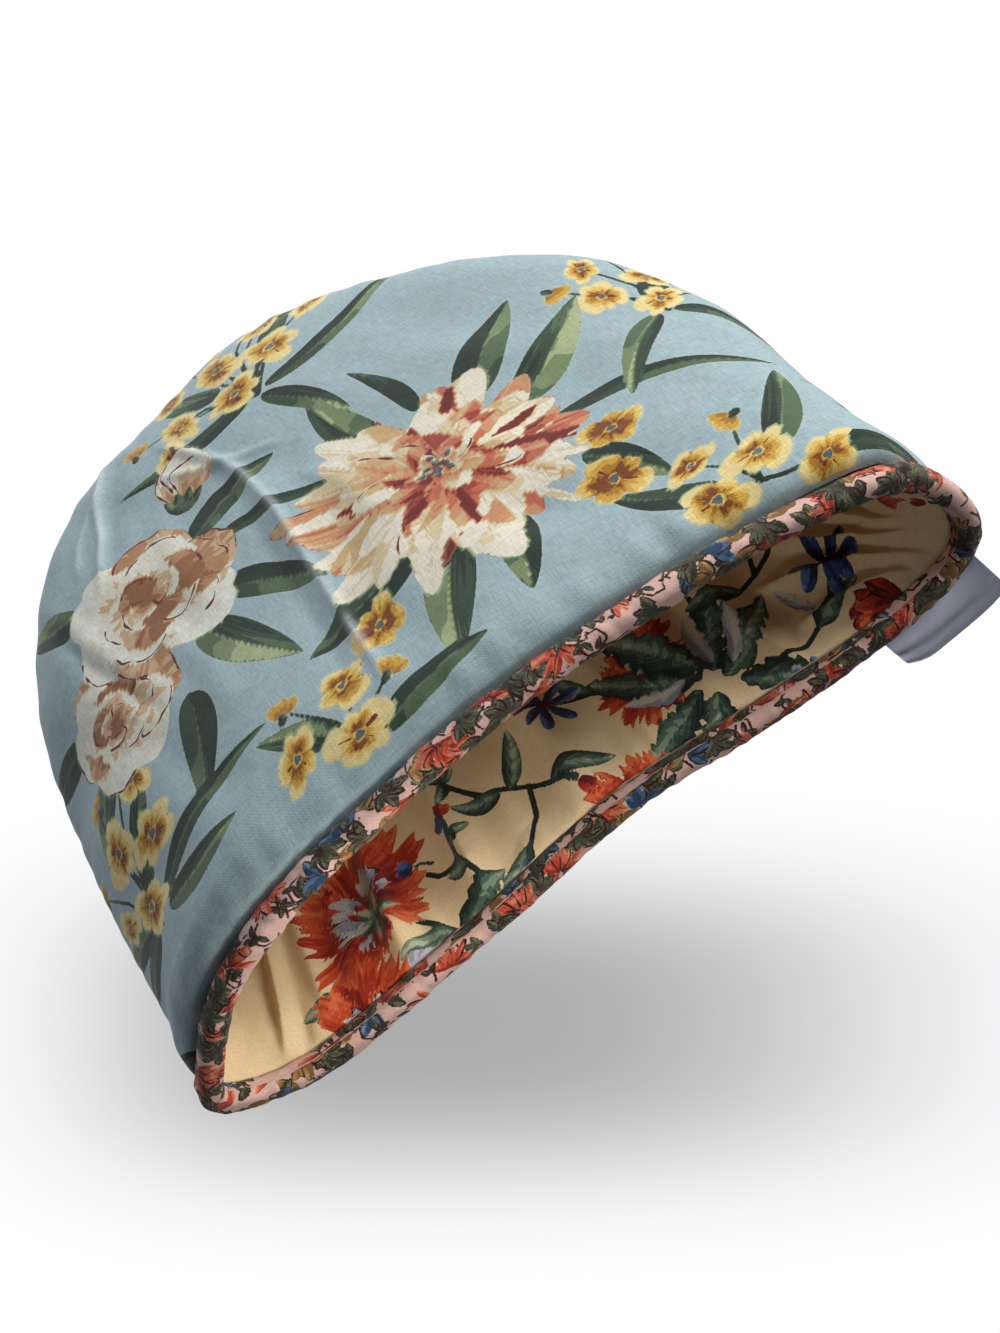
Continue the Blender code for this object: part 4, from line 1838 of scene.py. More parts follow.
GARDEN_COTTON = PrintedCotton(
    "garden_print_cotton",
    ground=(166, 190, 196),
    inks=(
        InkSet(
            (
                (112, 32, 26), (160, 62, 46), (198, 108, 80), (206, 148, 108), (206, 174, 126),
                (222, 204, 166), (235, 229, 210),
            ), 0.50, 0.23, 0.022,
        ),
        InkSet(
            ((150, 100, 66), (186, 138, 98), (210, 180, 142), (228, 226, 208), (232, 234, 222)),
            0.44, 0.24, 0.04,
        ),
        InkSet(
            ((128, 72, 32), (176, 124, 40), (208, 164, 66), (228, 196, 108), (238, 218, 152)),
            0.34, 0.34, 0.07, 0.5,
        ),
        InkSet(
            ((36, 52, 42), (54, 75, 57), (86, 108, 80), (124, 144, 102), (172, 184, 140)),
            0.50, 0.30, 0.02, 0.12,
        ),
        InkSet(((96, 28, 26), (132, 52, 40), (86, 104, 108), (112, 128, 126)), 0.15, 0.5, 0.2),
    ),
    pen=(112, 38, 30),
    pen_width=0.42,
    slub=216.0,
    weave=0.55,
)
SPRIG_COTTON = PrintedCotton(
    "sprig_print_cotton",
    ground=(243, 217, 172),
    inks=(
        InkSet(
            ((92, 20, 22), (136, 32, 24), (176, 50, 28), (208, 78, 42), (228, 116, 70)),
            0.5, 0.45, 0.05,
        ),
        InkSet(
            ((110, 110, 132), (150, 154, 170), (188, 190, 196), (222, 214, 198)),
            0.4, 0.45, 0.07,
        ),
        InkSet(((34, 40, 78), (48, 68, 122), (80, 110, 164), (130, 154, 192)), 0.45, 0.45, 0.07),
        InkSet(
            ((30, 42, 36), (48, 68, 58), (78, 102, 86), (128, 148, 126), (178, 188, 164)),
            0.4, 0.45, 0.05,
        ),
        InkSet(((84, 22, 32), (118, 32, 38), (150, 54, 54)), 0.2, 0.5, 0.2),
    ),
    pen=(84, 24, 30),
    pen_width=0.42,
    roughness=0.82,
    wrinkle=0.3,
    weave=0.3,
    slub=240.0,
)
VINE_COTTON = PrintedCotton(
    "vine_print_cotton",
    ground=(228, 188, 178),
    inks=(
        InkSet(((150, 44, 30), (196, 74, 50), (216, 112, 82), (230, 156, 128)), 0.6, 0.9, 0.25),
        InkSet(((132, 96, 54), (170, 132, 80), (200, 168, 114)), 0.5, 0.8, 0.2),
        InkSet(((40, 66, 96), (70, 106, 140), (124, 156, 178)), 0.4, 0.7, 0.2),
        InkSet(((54, 54, 42), (76, 78, 60), (104, 106, 84), (134, 132, 108)), 0.5, 1.0, 0.25),
        InkSet(((60, 26, 24), (96, 40, 34)), 0.2, 0.5, 0.2),
    ),
    pen=(50, 24, 24),
    pen_width=0.3,
    bias=True,
    weave=0.5,
)


@dataclass(frozen=True)
class Satin:
    """A bare woven satin ribbon."""

    name: str = "bare_satin"
    colour: tuple[float, float, float] = (218, 224, 250)
    roughness: float = 0.42

    def material(self) -> bpy.types.Material:
        """Make the material.

        Returns:
            The finished satin.
        """
        bench, made, shader, place = NodeBench.for_cloth(self.name)
        across, up = bench.split(place).outputs[:2]
        thread = bench.join(bench.math("MULTIPLY", across, 0.5), bench.math("MULTIPLY", up, 4.0))
        floats = bench.noise(thread, 1.0)
        cloudy = bench.noise(place, 0.12, 2.0)
        dark, pale = (
            linear(*(min(255.0, share * part) for part in self.colour)) for share in (0.90, 1.05)
        )
        own = linear(*self.colour)
        colour = bench.mix(floats, dark, own)
        colour = bench.mix(bench.edge(cloudy, 0.25, 0.5), colour, bench.mix(0.5, colour, pale))
        bench.finish(
            shader, Base_Color=colour, Roughness=self.roughness, Sheen_Weight=0.1,
            Normal=bench.bump(0.35, 0.0001, floats),
        )
        return made


def print_cloth(
    thing: bpy.types.Object, plate: InkPlate, across: np.ndarray, up: np.ndarray,
    material: bpy.types.Material,
) -> None:
    """Put a plate's print, the flat map and the material on a piece.

    Args:
        thing: The piece; its first vertices are the plate's places.
        plate: The print.
        across: Flat places of all its vertices across.
        up: Flat places of all its vertices up.
        material: The cotton.
    """
    mesh = thing.data
    write_uv(mesh, across, up)
    write_attribute(mesh, "inks_low", plate.depths[:3].T, -FAR)
    high = np.stack([plate.depths[3], plate.depths[4], plate.pen_mask], axis=1)
    write_attribute(mesh, "inks_high", high, -FAR)
    stroke = np.stack([plate.stroke[0], plate.stroke[1], plate.tone], axis=1)
    write_attribute(mesh, "stroke", stroke, 0.0)
    write_attribute(mesh, "pen", plate.pen, FAR)
    mesh.materials.append(material)


# ----------------------------------------------------------------------------------- pieces


@dataclass
class ClothPanel:
    """One panel: a fine shown face, a coarse face behind it, its hand creases and its print."""

    name: str
    side: Side
    form: CosyForm
    creases: tuple[Crease, ...]
    shift: tuple[float, float]
    seed: int
    columns: int
    rows: int = 260
    ratio: int = 10

    def ripple(self, number: int, wavelength: float, waves: int = 12) -> Ripple:
        """Give one of the panel's own ripples.

        Args:
            number: Which of them.
            wavelength: Its usual length, in millimetres.
            waves: How many sines it adds.

        Returns:
            The ripple.
        """
        return Ripple(wavelength, self.seed + number, waves)

    def creased(self, total: np.ndarray, spot: Spot) -> np.ndarray:
        """Add the lift of every crease.

        Args:
            total: The relief so far, in millimetres.
            spot: The points.

        Returns:
            The relief with the creases.
        """
        for crease in self.creases:
            total = total + crease.lift(spot.x, spot.z)
        return total

    def hemward(self, spot: Spot, reach: float, power: float) -> np.ndarray:
        """Give how near each point is to the hem, from 1 there to 0 above its reach.

        Args:
            spot: The points.
            reach: How far up the hem is felt, in millimetres.
            power: How suddenly it ends.

        Returns:
            The nearness.
        """
        return np.exp(-(((spot.z - self.form.floor) / reach) ** power))

    def printed_shell(
        self, layers: tuple[Layer, Layer], straight: float, mirrored: bool, design: PrintDesign,
        cotton: PrintedCotton, pinch: Callable[[Spot], np.ndarray] | None = None,
    ) -> tuple[bpy.types.Object, Spot]:
        """Make the panel's closed shell and print it.

        Args:
            layers: The shown face of the cloth and the hidden one.
            straight: Share of even spacing in its grid.
            mirrored: Whether the print runs the other way along the hem.
            design: The print's design.
            cotton: The finish.
            pinch: Gives how far the outline is drawn in, in millimetres.

        Returns:
            The piece, and the places its shown points stand for.
        """
        place, table = self.form.place, self.form.flat_tables(self.side, layers[0])
        front = half_disc(self.columns, self.rows, straight)
        back = half_disc(self.columns // self.ratio, self.rows // self.ratio, straight)
        fine, spot = place(self.side, layers[0], *front, self.relief, pinch)
        coarse, _ = place(self.side, layers[1], *back, None, pinch)
        thing = ClothMesh.shell(fine, coarse).build(self.name)
        u, v = table.read(*front)
        if mirrored:
            u = -u
        plate = InkPlate(u, v)
        design.print_on(plate, self.shift)
        across, up = (
            np.concatenate([shown.ravel(), hidden.ravel()])
            for shown, hidden in zip((u, v), table.read(*back))
        )
        print_cloth(thing, plate, across, up, MATERIALS.get(cotton))
        return thing, spot


@dataclass
class PaddedPanel(ClothPanel):
    """One padded outer panel: wadded cotton with its hand creases, puckers and print."""

    columns: int = 350
    straight: float = 0.62
    swell: float = 0.9
    dapple: float = 0.20
    pucker: float = 0.55
    pucker_length: float = 9.5
    seam_reach: float = 11.0
    seam_sink: float = 1.5
    hem_reach: float = 13.0
    sharp_width: float = 4.0
    full_wear_and_highlight: float = 1.6
    fill: float = 0.55

    def crest(self, spot: Spot) -> np.ndarray:
        """Give how near each point is to a sharp crest, where a pale highlight is painted and the
        print is partly worn paler.

        Args:
            spot: The points' places on the panel.

        Returns:
            The nearness, from 0 to 1.
        """
        total = np.zeros_like(spot.x)
        for crease in self.creases:
            if crease.width < self.sharp_width and crease.height > 0.0:
                strength = min(1.0, crease.height / self.full_wear_and_highlight) ** 2
                slim = Crease(crease.line, crease.width * 0.75, strength)
                total = np.maximum(total, slim.lift(spot.x, spot.z))
        patchy = 0.66 + 0.34 * self.ripple(8, 30.0, 24).at(spot.x, spot.z)
        return total * np.clip(patchy, 0.0, 1.0) * spot.rounded

    def relief(self, spot: Spot) -> np.ndarray:
        """Give the cloth's height over the plain form: creases, swells and gathered edges.

        Args:
            spot: The points' places on the panel.

        Returns:
            Millimetres outwards for each point.
        """
        total = self.swell * self.ripple(0, 74.0, 24).at(spot.x, spot.z)
        total += self.dapple * self.ripple(1, 30.0, 24).at(spot.x, spot.z)
        total = self.creased(total, spot)
        near = np.exp(-((spot.to_seam / self.seam_reach) ** 1.3))
        seamward = near * np.minimum(1.0, spot.to_seam / 2.5)
        gather = self.ripple(2, self.pucker_length).at(spot.round_seam())
        hemward = self.hemward(spot, self.hem_reach, 1.4) * spot.over ** 0.5
        tuck = self.ripple(3, 13.0).at(spot.x)
        edges = self.pucker * (gather * seamward + tuck * hemward * spot.rounded)
        return total * (spot.rounded * spot.over) + edges

    def pinch(self, spot: Spot) -> np.ndarray:
        """Draw the panel in along the seam, unevenly, as stitches do."""
        pull = 1.0 + 0.35 * Ripple(self.pucker_length, SEAM_SEED).at(spot.round_seam())
        return self.seam_sink * np.exp(-((spot.to_seam / 2.6) ** 1.2)) * pull

    def build(self) -> bpy.types.Object:
        """Make the panel.

        Returns:
            The finished piece, declared to the frame.
        """
        thing, spot = self.printed_shell(
            (OUTER_FACE, WADDING_FACE), self.straight, self.side is Side.REAR, PrintDesign.GARDEN,
            GARDEN_COTTON, self.pinch,
        )
        # The crest attribute carries the painted highlight along sharp creases.
        write_attribute(thing.data, "crest", self.crest(spot).ravel(), 0.0)
        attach(thing, "root")
        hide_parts("outer_front" if self.side is Side.FRONT else "outer_back")
        return thing


@dataclass
class LiningPanel(ClothPanel):
    """One lining panel: thin cotton with soft upright folds, seen through the opening."""

    columns: int = 360
    straight: float = 0.8
    ease: float = 0.7
    hem_reach: float = 16.0
    hem_wave: float = 0.5
    deepest: float = 0.3
    flat: tuple[float, float] = (0.36, 0.285)
    area: float = 0.082

    def relief(self, spot: Spot) -> np.ndarray:
        """Give how far the lining stands in from its wadding; inwards is negative.

        Args:
            spot: The points' places on the panel.

        Returns:
            Millimetres for each point.
        """
        total = self.ease * self.ripple(0, 40.0, 24).at(spot.x, spot.z * 0.45)
        total += 0.18 * self.ripple(1, 18.0, 24).at(spot.x, spot.z * 0.6)
        total = self.creased(np.abs(total) * 0.8 + 0.4, spot)
        wave = self.hem_wave * (1.0 + self.ripple(2, 11.0).at(spot.x))
        total += wave * self.hemward(spot, self.hem_reach, 1.3)
        return -np.maximum(total, -self.deepest) * spot.rounded * spot.over ** 0.5

    def build(self) -> bpy.types.Object:
        """Make the panel.

        Returns:
            The finished piece, declared to the frame.
        """
        thing, _ = self.printed_shell(
            (LINING_FACE, LINING_BACK), self.straight, self.side is Side.FRONT, PrintDesign.SPRIGS,
            SPRIG_COTTON,
        )
        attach(thing, "root")
        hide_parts("lining_front" if self.side is Side.FRONT else "lining_back")
        return thing


@dataclass
class HemBinding:
    """The rolled bias binding, swept round the hem by Geometry Nodes and then rumpled."""

    form: CosyForm
    stations: int = 1700
    girth: int = 48
    half_width: float = 4.5
    height: float = 9.9
    squareness: float = 0.78
    radius: float = 5.4
    rumple: float = 0.32
    rumple_share: float = 0.55
    sway: float = 0.5
    tuck_angle: float = 2.15
    tuck_width: float = 0.16
    tuck_depth: float = 0.55 * 0.12
    lowest: float = 0.02
    print_half: float = 16.0
    print_seed: int = 71

    def sizes(self) -> dict[str, tuple[str, object]]:
        """Give the sweep's inputs: the socket kind and the value of each, by name.

        Returns:
            Kinds and values, in the inputs' order.
        """
        return {
            "Stations": ("Int", self.stations), "Girth Points": ("Int", self.girth),
            "Half Width": ("Float", self.half_width * MM),
            "Half Height": ("Float", self.height * MM / 2.0),
            "Squareness": ("Float", self.squareness), "Cotton": ("Material", None),
        }

    def sweep_tree(self) -> bpy.types.NodeTree:
        """Build the node tree that sweeps a rounded section along the hem's line.

        Returns:
            The tree, with named inputs for its sizes.
        """
        tree = bpy.data.node_groups.new("hem_binding_sweep", "GeometryNodeTree")
        face = tree.interface
        face.new_socket("Geometry", in_out="INPUT", socket_type="NodeSocketGeometry")
        for name, (kind, value) in self.sizes().items():
            socket = face.new_socket(name, in_out="INPUT", socket_type="NodeSocket" + kind)
            if value is not None:
                socket.default_value = value
        face.new_socket("Geometry", in_out="OUTPUT", socket_type="NodeSocketGeometry")
        bench = NodeBench(tree)
        inputs = {socket.name: socket for socket in bench.node("NodeGroupInput").outputs}

        def passed(kind: str, geometry: object, feeds: dict, **settings: object) -> object:
            """Pass the geometry through one more node.

            Args:
                kind: The node's type, less its first words.
                geometry: The geometry so far.
                feeds: Sockets or values for its other inputs.
                settings: Its properties.

            Returns:
                The node's first output.
            """
            made = bench.node("GeometryNode" + kind, **settings)
            bench.feed(made.inputs[0], geometry)
            for key, value in feeds.items():
                bench.feed(made.inputs[key], value)
            return made.outputs[0]

        def squared(value: object, size: bpy.types.NodeSocket) -> bpy.types.NodeSocket:
            """Push the circle's points out towards a rounded square's.

            Args:
                value: One of the points' two places, from -1 to 1.
                size: Half the section's size that way.

            Returns:
                The place on the rounded square.
            """
            power = bench.math("POWER", bench.math("ABSOLUTE", value), inputs["Squareness"])
            signed = bench.math("MULTIPLY", bench.math("SIGN", value), power)
            return bench.math("MULTIPLY", signed, size)

        evenly = passed(
            "ResampleCurve", inputs["Geometry"], {"Count": inputs["Stations"]}, mode="COUNT"
        )
        upright = passed("SetCurveNormal", evenly, {}, mode="Z_UP")
        ring = bench.node(
            "GeometryNodeCurvePrimitiveCircle",
            {"Resolution": inputs["Girth Points"], "Radius": 1.0}, mode="RADIUS",
        ).outputs["Curve"]
        corner = bench.split(bench.node("GeometryNodeInputPosition").outputs[0])
        shape = bench.join(
            squared(corner.outputs[0], inputs["Half Width"]),
            squared(corner.outputs[1], inputs["Half Height"]),
        )
        shaped = passed("SetPosition", ring, {"Position": shape})
        swept = passed("CurveToMesh", upright, {"Profile Curve": shaped})
        clad = passed(
            "SetMaterial", passed("RealizeInstances", swept, {}), {"Material": inputs["Cotton"]}
        )
        bench.node("NodeGroupOutput", {0: clad})
        return tree

    def swept_mesh(self, material: bpy.types.Material) -> bpy.types.Mesh:
        """Sweep the section round the hem and give a plain mesh.

        Args:
            material: The binding's cotton.

        Returns:
            The mesh, station after station.
        """
        loop = self.form.loop()
        curve = bpy.data.curves.new("hem_line", "CURVE")
        curve.dimensions = "3D"
        line = curve.splines.new("POLY")
        line.points.add(len(loop) - 1)
        for point, (x, y) in zip(line.points, loop):
            point.co = (
                (x - self.form.origin[0]) * MM, (y - self.form.origin[1]) * MM,
                self.height * MM / 2.0, 1.0,
            )
        line.use_cyclic_u = True
        guide = add_object("hem_line", curve)
        modifier = guide.modifiers.new("hem_binding_sweep", "NODES")
        modifier.node_group = self.sweep_tree()
        for item in modifier.node_group.interface.items_tree:
            if item.name in self.sizes():
                value = self.sizes()[item.name][1]
                modifier[item.identifier] = material if value is None else value
        graph = bpy.context.evaluated_depsgraph_get()
        mesh = bpy.data.meshes.new_from_object(guide.evaluated_get(graph), depsgraph=graph)
        guide.modifiers.clear()
        bpy.data.objects.remove(guide, do_unlink=True)
        mesh.name = "binding_cloth"
        return mesh

    def build(self) -> bpy.types.Object:
        """Make the binding.

        Returns:
            The finished piece, declared to the frame.
        """
        material = MATERIALS.get(VINE_COTTON)
        mesh = self.swept_mesh(material)
        places = np.empty(len(mesh.vertices) * 3)
        mesh.vertices.foreach_get("co", places)
        places = places.reshape(self.stations, self.girth, 3) / MM
        middle = places.mean(axis=1, keepdims=True)
        offset = places - middle
        length = Route(np.concatenate([middle[:, 0, :2], middle[:1, 0, :2]])).length
        station = np.arange(self.stations)[:, None] / self.stations * length
        inward = self.inward(middle[:, 0, :2])
        out = -(offset[..., :2] * inward[:, None]).sum(axis=2)
        angle = np.arctan2(offset[..., 2], out)
        round_it = angle * self.radius
        along = np.broadcast_to(station, angle.shape)
        seamless = 2.0 * math.pi / length

        def wave(turns: int, phase: float, slant: float = 0.0) -> np.ndarray:
            """Give a wave that closes round the hem."""
            return np.sin(along * seamless * turns + phase + slant * angle)

        fat = 1.0 + 0.035 * wave(9, 0.4) + 0.03 * wave(17, 2.1) + 0.02 * wave(31, 4.0)
        ridges = (
            wave(88, 0.3, 1.6) * wave(13, 1.0) + 0.8 * wave(63, 2.0, 1.9) * wave(19, 0.1)
            + 0.5 * wave(131, 1.1, 1.3) * wave(23, 3.0)
        )
        grown = fat + self.rumple / self.radius * ridges * self.rumple_share
        tuck = np.exp(-(((angle - self.tuck_angle) / self.tuck_width) ** 2)) * self.tuck_depth
        offset = offset * grown[..., None] * (1.0 - tuck[..., None])
        level = np.pad(inward, ((0, 0), (0, 1)))[:, None]
        sway = self.sway * wave(7, 1.3)[..., None] * level
        places = middle + offset + sway
        places[..., 2] = np.maximum(places[..., 2], self.lowest)
        mesh.vertices.foreach_set("co", (places * MM).ravel())
        mesh.update()
        mesh.shade_smooth()
        for layer in list(mesh.uv_layers):
            mesh.uv_layers.remove(layer)
        thing = add_object("binding_cloth", mesh)
        mesh.materials.clear()
        plate = InkPlate(along, round_it)
        draw_vines(Spray(plate, self.print_seed), length, self.print_half)
        print_cloth(thing, plate, along.ravel(), round_it.ravel(), material)
        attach(thing, "root")
        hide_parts("binding")
        return thing

    def inward(self, line: np.ndarray) -> np.ndarray:
        """Give the direction into the hem's loop at each station.

        Args:
            line: The stations' places from above.

        Returns:
            Unit vectors, one row each.
        """
        run = np.roll(line, -1, axis=0) - np.roll(line, 1, axis=0)
        run /= np.linalg.norm(run, axis=1, keepdims=True)
        side = np.stack([-run[:, 1], run[:, 0]], axis=1)
        to_middle = line.mean(axis=0) - line
        return side * np.sign((side * to_middle).sum(axis=1).mean())


@dataclass
class LabelTab:
    """The bare satin tab that is caught under the binding beside the right end."""

    form: CosyForm
    root: tuple[float, float] = (0.042, 0.160)
    length: float = 25.5
    turn: float = 15.0
    binding_half: float = 5.3
    gap: float = 0.3
    root_height: float = 7.0
    drop: float = 14.0
    probe: float = 0.002
    cut_corner: tuple[float, float] = (0.24, 2.2)
    fold: tuple[float, float, float] = (1.8, 0.62, 0.1)
    curl: float = 2.6
    arch: float = 0.9
    thickness: float = 0.35
    width: float = 43.0
    columns: int = 60
    rows: int = 50
    ratio: int = 5

    def place(self, across: np.ndarray, along: np.ndarray, lift: float) -> np.ndarray:
        """Place points of the tab.

        Args:
            across: Shares across the tab, 0 to 1.
            along: Shares from its root to its end, 0 to 1.
            lift: Height of this face over the tab's lower one, in millimetres.

        Returns:
            Points in millimetres.
        """
        rear = self.form.half(Side.REAR)
        share = 1.0 - self.root[0] - (self.root[1] - self.root[0]) * (1.0 - across)
        run = rear.at(share + self.probe) - rear.at(share - self.probe)
        run = run / np.linalg.norm(run, axis=-1, keepdims=True)
        outward = np.stack([-run[..., 1], run[..., 0]], axis=-1)
        a = math.radians(self.turn)
        cut, power = self.cut_corner
        corner = 1.0 - cut * np.clip((cut - across) / cut, 0.0, 1.0) ** power
        reach = along * self.length * corner
        spot = rear.at(share) + outward * (self.binding_half + self.gap)
        spot = spot + reach[..., None] * np.array([math.sin(a), math.cos(a)])
        slope = np.maximum(0.0, 1.0 - reach / self.drop)
        z = self.gap + self.root_height * slope * slope
        rise, middle, width = self.fold
        z = z + rise * np.exp(-(((along - middle - 0.2 * (across - 0.5)) / width) ** 2))
        z = z + self.curl * along ** 3 * (1.0 - across)
        z = z + self.arch * along * np.sin(across * math.pi)
        return np.stack(
            [spot[..., 0] - self.form.origin[0], spot[..., 1] - self.form.origin[1], z + lift],
            axis=-1,
        )

    def build(self) -> bpy.types.Object:
        """Make the tab.

        Returns:
            The finished piece, declared to the frame.
        """
        front, back = (
            np.meshgrid(
                np.linspace(0.0, 1.0, self.columns // ratio + 1),
                np.linspace(0.0, 1.0, self.rows // ratio + 1),
            )
            for ratio in (1, self.ratio)
        )
        fine = self.place(*front, self.thickness)
        thing = ClothMesh.shell(fine, self.place(*back, 0.0)).build("label_tab", 50.0)
        flat = (
            np.concatenate([shown.ravel(), hidden.ravel()]) * size
            for shown, hidden, size in zip(front, back, (self.width, self.length))
        )
        write_uv(thing.data, *flat)
        thing.data.materials.append(Satin().material())
        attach(thing, "root")
        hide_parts("label")
        return thing


class MaterialShelf:
    """Makes each finish once and hands it out."""

    def __init__(self) -> None:
        """Start empty."""
        self.made: dict[str, bpy.types.Material] = {}

    def get(self, finish: PrintedCotton) -> bpy.types.Material:
        """Give the finish's material.

        Args:
            finish: The finish.

        Returns:
            Its material, made the first time only.
        """
        if finish.name not in self.made:
            self.made[finish.name] = finish.material()
        return self.made[finish.name]


MATERIALS = MaterialShelf()


# ----------------------------------------------------------------------------------- studio


# Name, direction, width, watts and tint of each light; then the spot it is turned to and how far
# away it hangs, where they aren't the usual ones.
LIGHTS = (
    ("key_box", (0.88, -0.42, -0.20), 0.8, 20.0, (1.0, 0.98, 0.94)),
    ("front_box", (0.5, -0.6, 0.6), 0.9, 11.8, (1.0, 1.0, 1.0)),
    ("top_box", (-0.3, 0.1, 1.0), 1.4, 5.0, (0.98, 0.99, 1.0)),
    ("rear_box", (-0.3, 1.0, 0.35), 1.3, 8.0, (0.98, 0.99, 1.0)),
    (
        "card_box", (0.035, -0.06, -0.10), 0.04, 0.11, (1.0, 0.96, 0.88), (-0.10, 0.02, 0.015),
        0.14,
    ),
)


@dataclass
class Studio:
    """The camera, the pale floor, the soft lights and the pale surround with its painted shadow."""

    eye: tuple[float, float, float] = (0.00202, -0.56303, -0.39939)
    right: tuple[float, float, float] = (0.78999, 0.38957, -0.47344)
    up: tuple[float, float, float] = (0.61310, -0.50659, 0.60619)
    back: tuple[float, float, float] = (-0.00369, -0.76916, -0.63905)
    lens: float = 54.95
    floor_size: float = 8.0
    floor_drop: float = 0.0004
    ambient: tuple[float, float] = (0.05, 0.62)
    horizon_blur: float = 0.7
    # Where the painted shadow lies in the camera's view and how far it spreads; then how dark and
    # how soft it is.
    painted_shadow: tuple[float, ...] = (-0.0491, 0.150, 0.236, -0.1728, 0.0762, 0.069)
    painted_shadow_depth: float = 0.333
    painted_shadow_edge: float = 2.8

    def camera(self) -> None:
        """Set the camera where the object is seen from."""
        data = bpy.data.cameras.new("camera")
        data.lens = self.lens
        data.sensor_width = 36.0
        data.clip_start = 0.01
        data.clip_end = 50.0
        thing = add_object("camera", data)
        turn = Matrix([self.right, self.up, self.back]).transposed().to_4x4()
        thing.matrix_world = Matrix.Translation(Vector(self.eye)) @ turn
        bpy.context.scene.camera = thing

    def floor(self) -> None:
        """Lay the pale floor; it shows and takes shadows from above only."""
        half, low = self.floor_size / 2.0, -self.floor_drop
        mesh = bpy.data.meshes.new("studio_floor")
        corners = [(-half, -half, low), (half, -half, low), (half, half, low), (-half, half, low)]
        mesh.from_pydata(corners, [], [(0, 1, 2, 3)])
        made = bpy.data.materials.new("studio_floor")
        made.use_nodes = True
        bench = NodeBench(made.node_tree)
        shader = made.node_tree.nodes["Principled BSDF"]
        bench.finish(shader, Base_Color=linear(240, 240, 240), Roughness=0.9)
        below = bench.node("ShaderNodeNewGeometry").outputs["Backfacing"]
        clear = bench.node("ShaderNodeBsdfTransparent").outputs[0]
        choose = bench.node("ShaderNodeMixShader", {0: below, 1: shader.outputs[0], 2: clear})
        bench.feed(made.node_tree.nodes["Material Output"].inputs[0], choose.outputs[0])
        mesh.materials.append(made)
        thing = add_object("studio_floor", mesh)
        for kind in ("diffuse", "glossy", "transmission", "shadow"):
            setattr(thing, "visible_" + kind, False)

    def light(
        self, name: str, toward: tuple[float, float, float], size: float, power: float,
        tint: tuple[float, float, float], aim: tuple[float, float, float] = (0.0, 0.0, 0.12),
        away: float = 1.6,
    ) -> None:
        """Hang one soft round light.

        Args:
            name: The light's name.
            toward: Direction from the spot it is turned to, to the light.
            size: The light's width, in metres.
            power: Watts.
            tint: Its colour.
            aim: The spot it is turned to, in metres.
            away: Its distance from that spot, in metres.
        """
        data = bpy.data.lights.new(name, "AREA")
        data.shape = "DISK"
        data.size = size
        data.energy = power
        data.color = tint
        thing = add_object(name, data)
        spot = Vector(aim) + Vector(toward).normalized() * away
        thing.location = spot
        thing.rotation_mode = "QUATERNION"
        thing.rotation_quaternion = (Vector(aim) - spot).to_track_quat("-Z", "Y")
        thing.visible_camera = False

    def surround(self) -> None:
        """Make the pale surround, with a painted shadow: a soft grey pool beneath the cosy that
        only the camera sees.
        """
        world = bpy.data.worlds.new("studio_surround")
        bpy.context.scene.world = world
        world.use_nodes = True
        bench = NodeBench(world.node_tree)
        ground = world.node_tree.nodes["Background"]
        way = bench.node("ShaderNodeTexCoord").outputs["Generated"]

        def along(axis: tuple[float, float, float]) -> bpy.types.NodeSocket:
            """Measure the looking direction along an axis."""
            dot = bench.node("ShaderNodeVectorMath", {0: way, 1: axis}, operation="DOT_PRODUCT")
            return dot.outputs["Value"]

        # Painted shadow: the camera's view of the surround is darkened in a soft pool below the
        # cosy, where no cast shadow can fall.
        ahead = bench.math("MAXIMUM", bench.math("MULTIPLY", along(self.back), -1.0), 0.05)
        x = bench.math("DIVIDE", along(self.right), ahead)
        y = bench.math("DIVIDE", along(self.up), ahead)
        fades = []
        for value, middle, lower, upper in ((x, *self.painted_shadow[:3]), (y, *self.painted_shadow[3:])):
            away = bench.math("SUBTRACT", value, middle)
            sides = (
                bench.math("MULTIPLY", away, 1.0 / upper),
                bench.math("MULTIPLY", away, -1.0 / lower),
            )
            fades.append(bench.math("POWER", bench.math("MAXIMUM", *sides), self.painted_shadow_edge))
        shade = bench.math("EXPONENT", bench.math("MULTIPLY", bench.math("ADD", *fades), -1.0))
        seen = bench.math("SUBTRACT", 1.0, bench.math("MULTIPLY", shade, self.painted_shadow_depth))
        seen = bench.math("POWER", seen, 2.2)
        height = bench.split(way).outputs[2]
        sky = bench.edge(height, self.horizon_blur)
        path = bench.node("ShaderNodeLightPath")
        low, high = (
            [share * part for part in linear(238, 240, 246)[:3]] + [1.0] for share in self.ambient
        )
        ambient = bench.mix(sky, low, high)
        seen_colour = bench.join(seen, seen, seen)
        bench.feed(
            ground.inputs["Color"], bench.mix(path.outputs["Is Camera Ray"], ambient, seen_colour)
        )
        ground.inputs["Strength"].default_value = 1.0

    def build(self) -> None:
        """Set the whole studio up."""
        self.camera()
        self.floor()
        self.surround()
        for row in LIGHTS:
            self.light(*row)
        view = bpy.context.scene.view_settings
        view.view_transform = "Standard"
        view.look = "None"


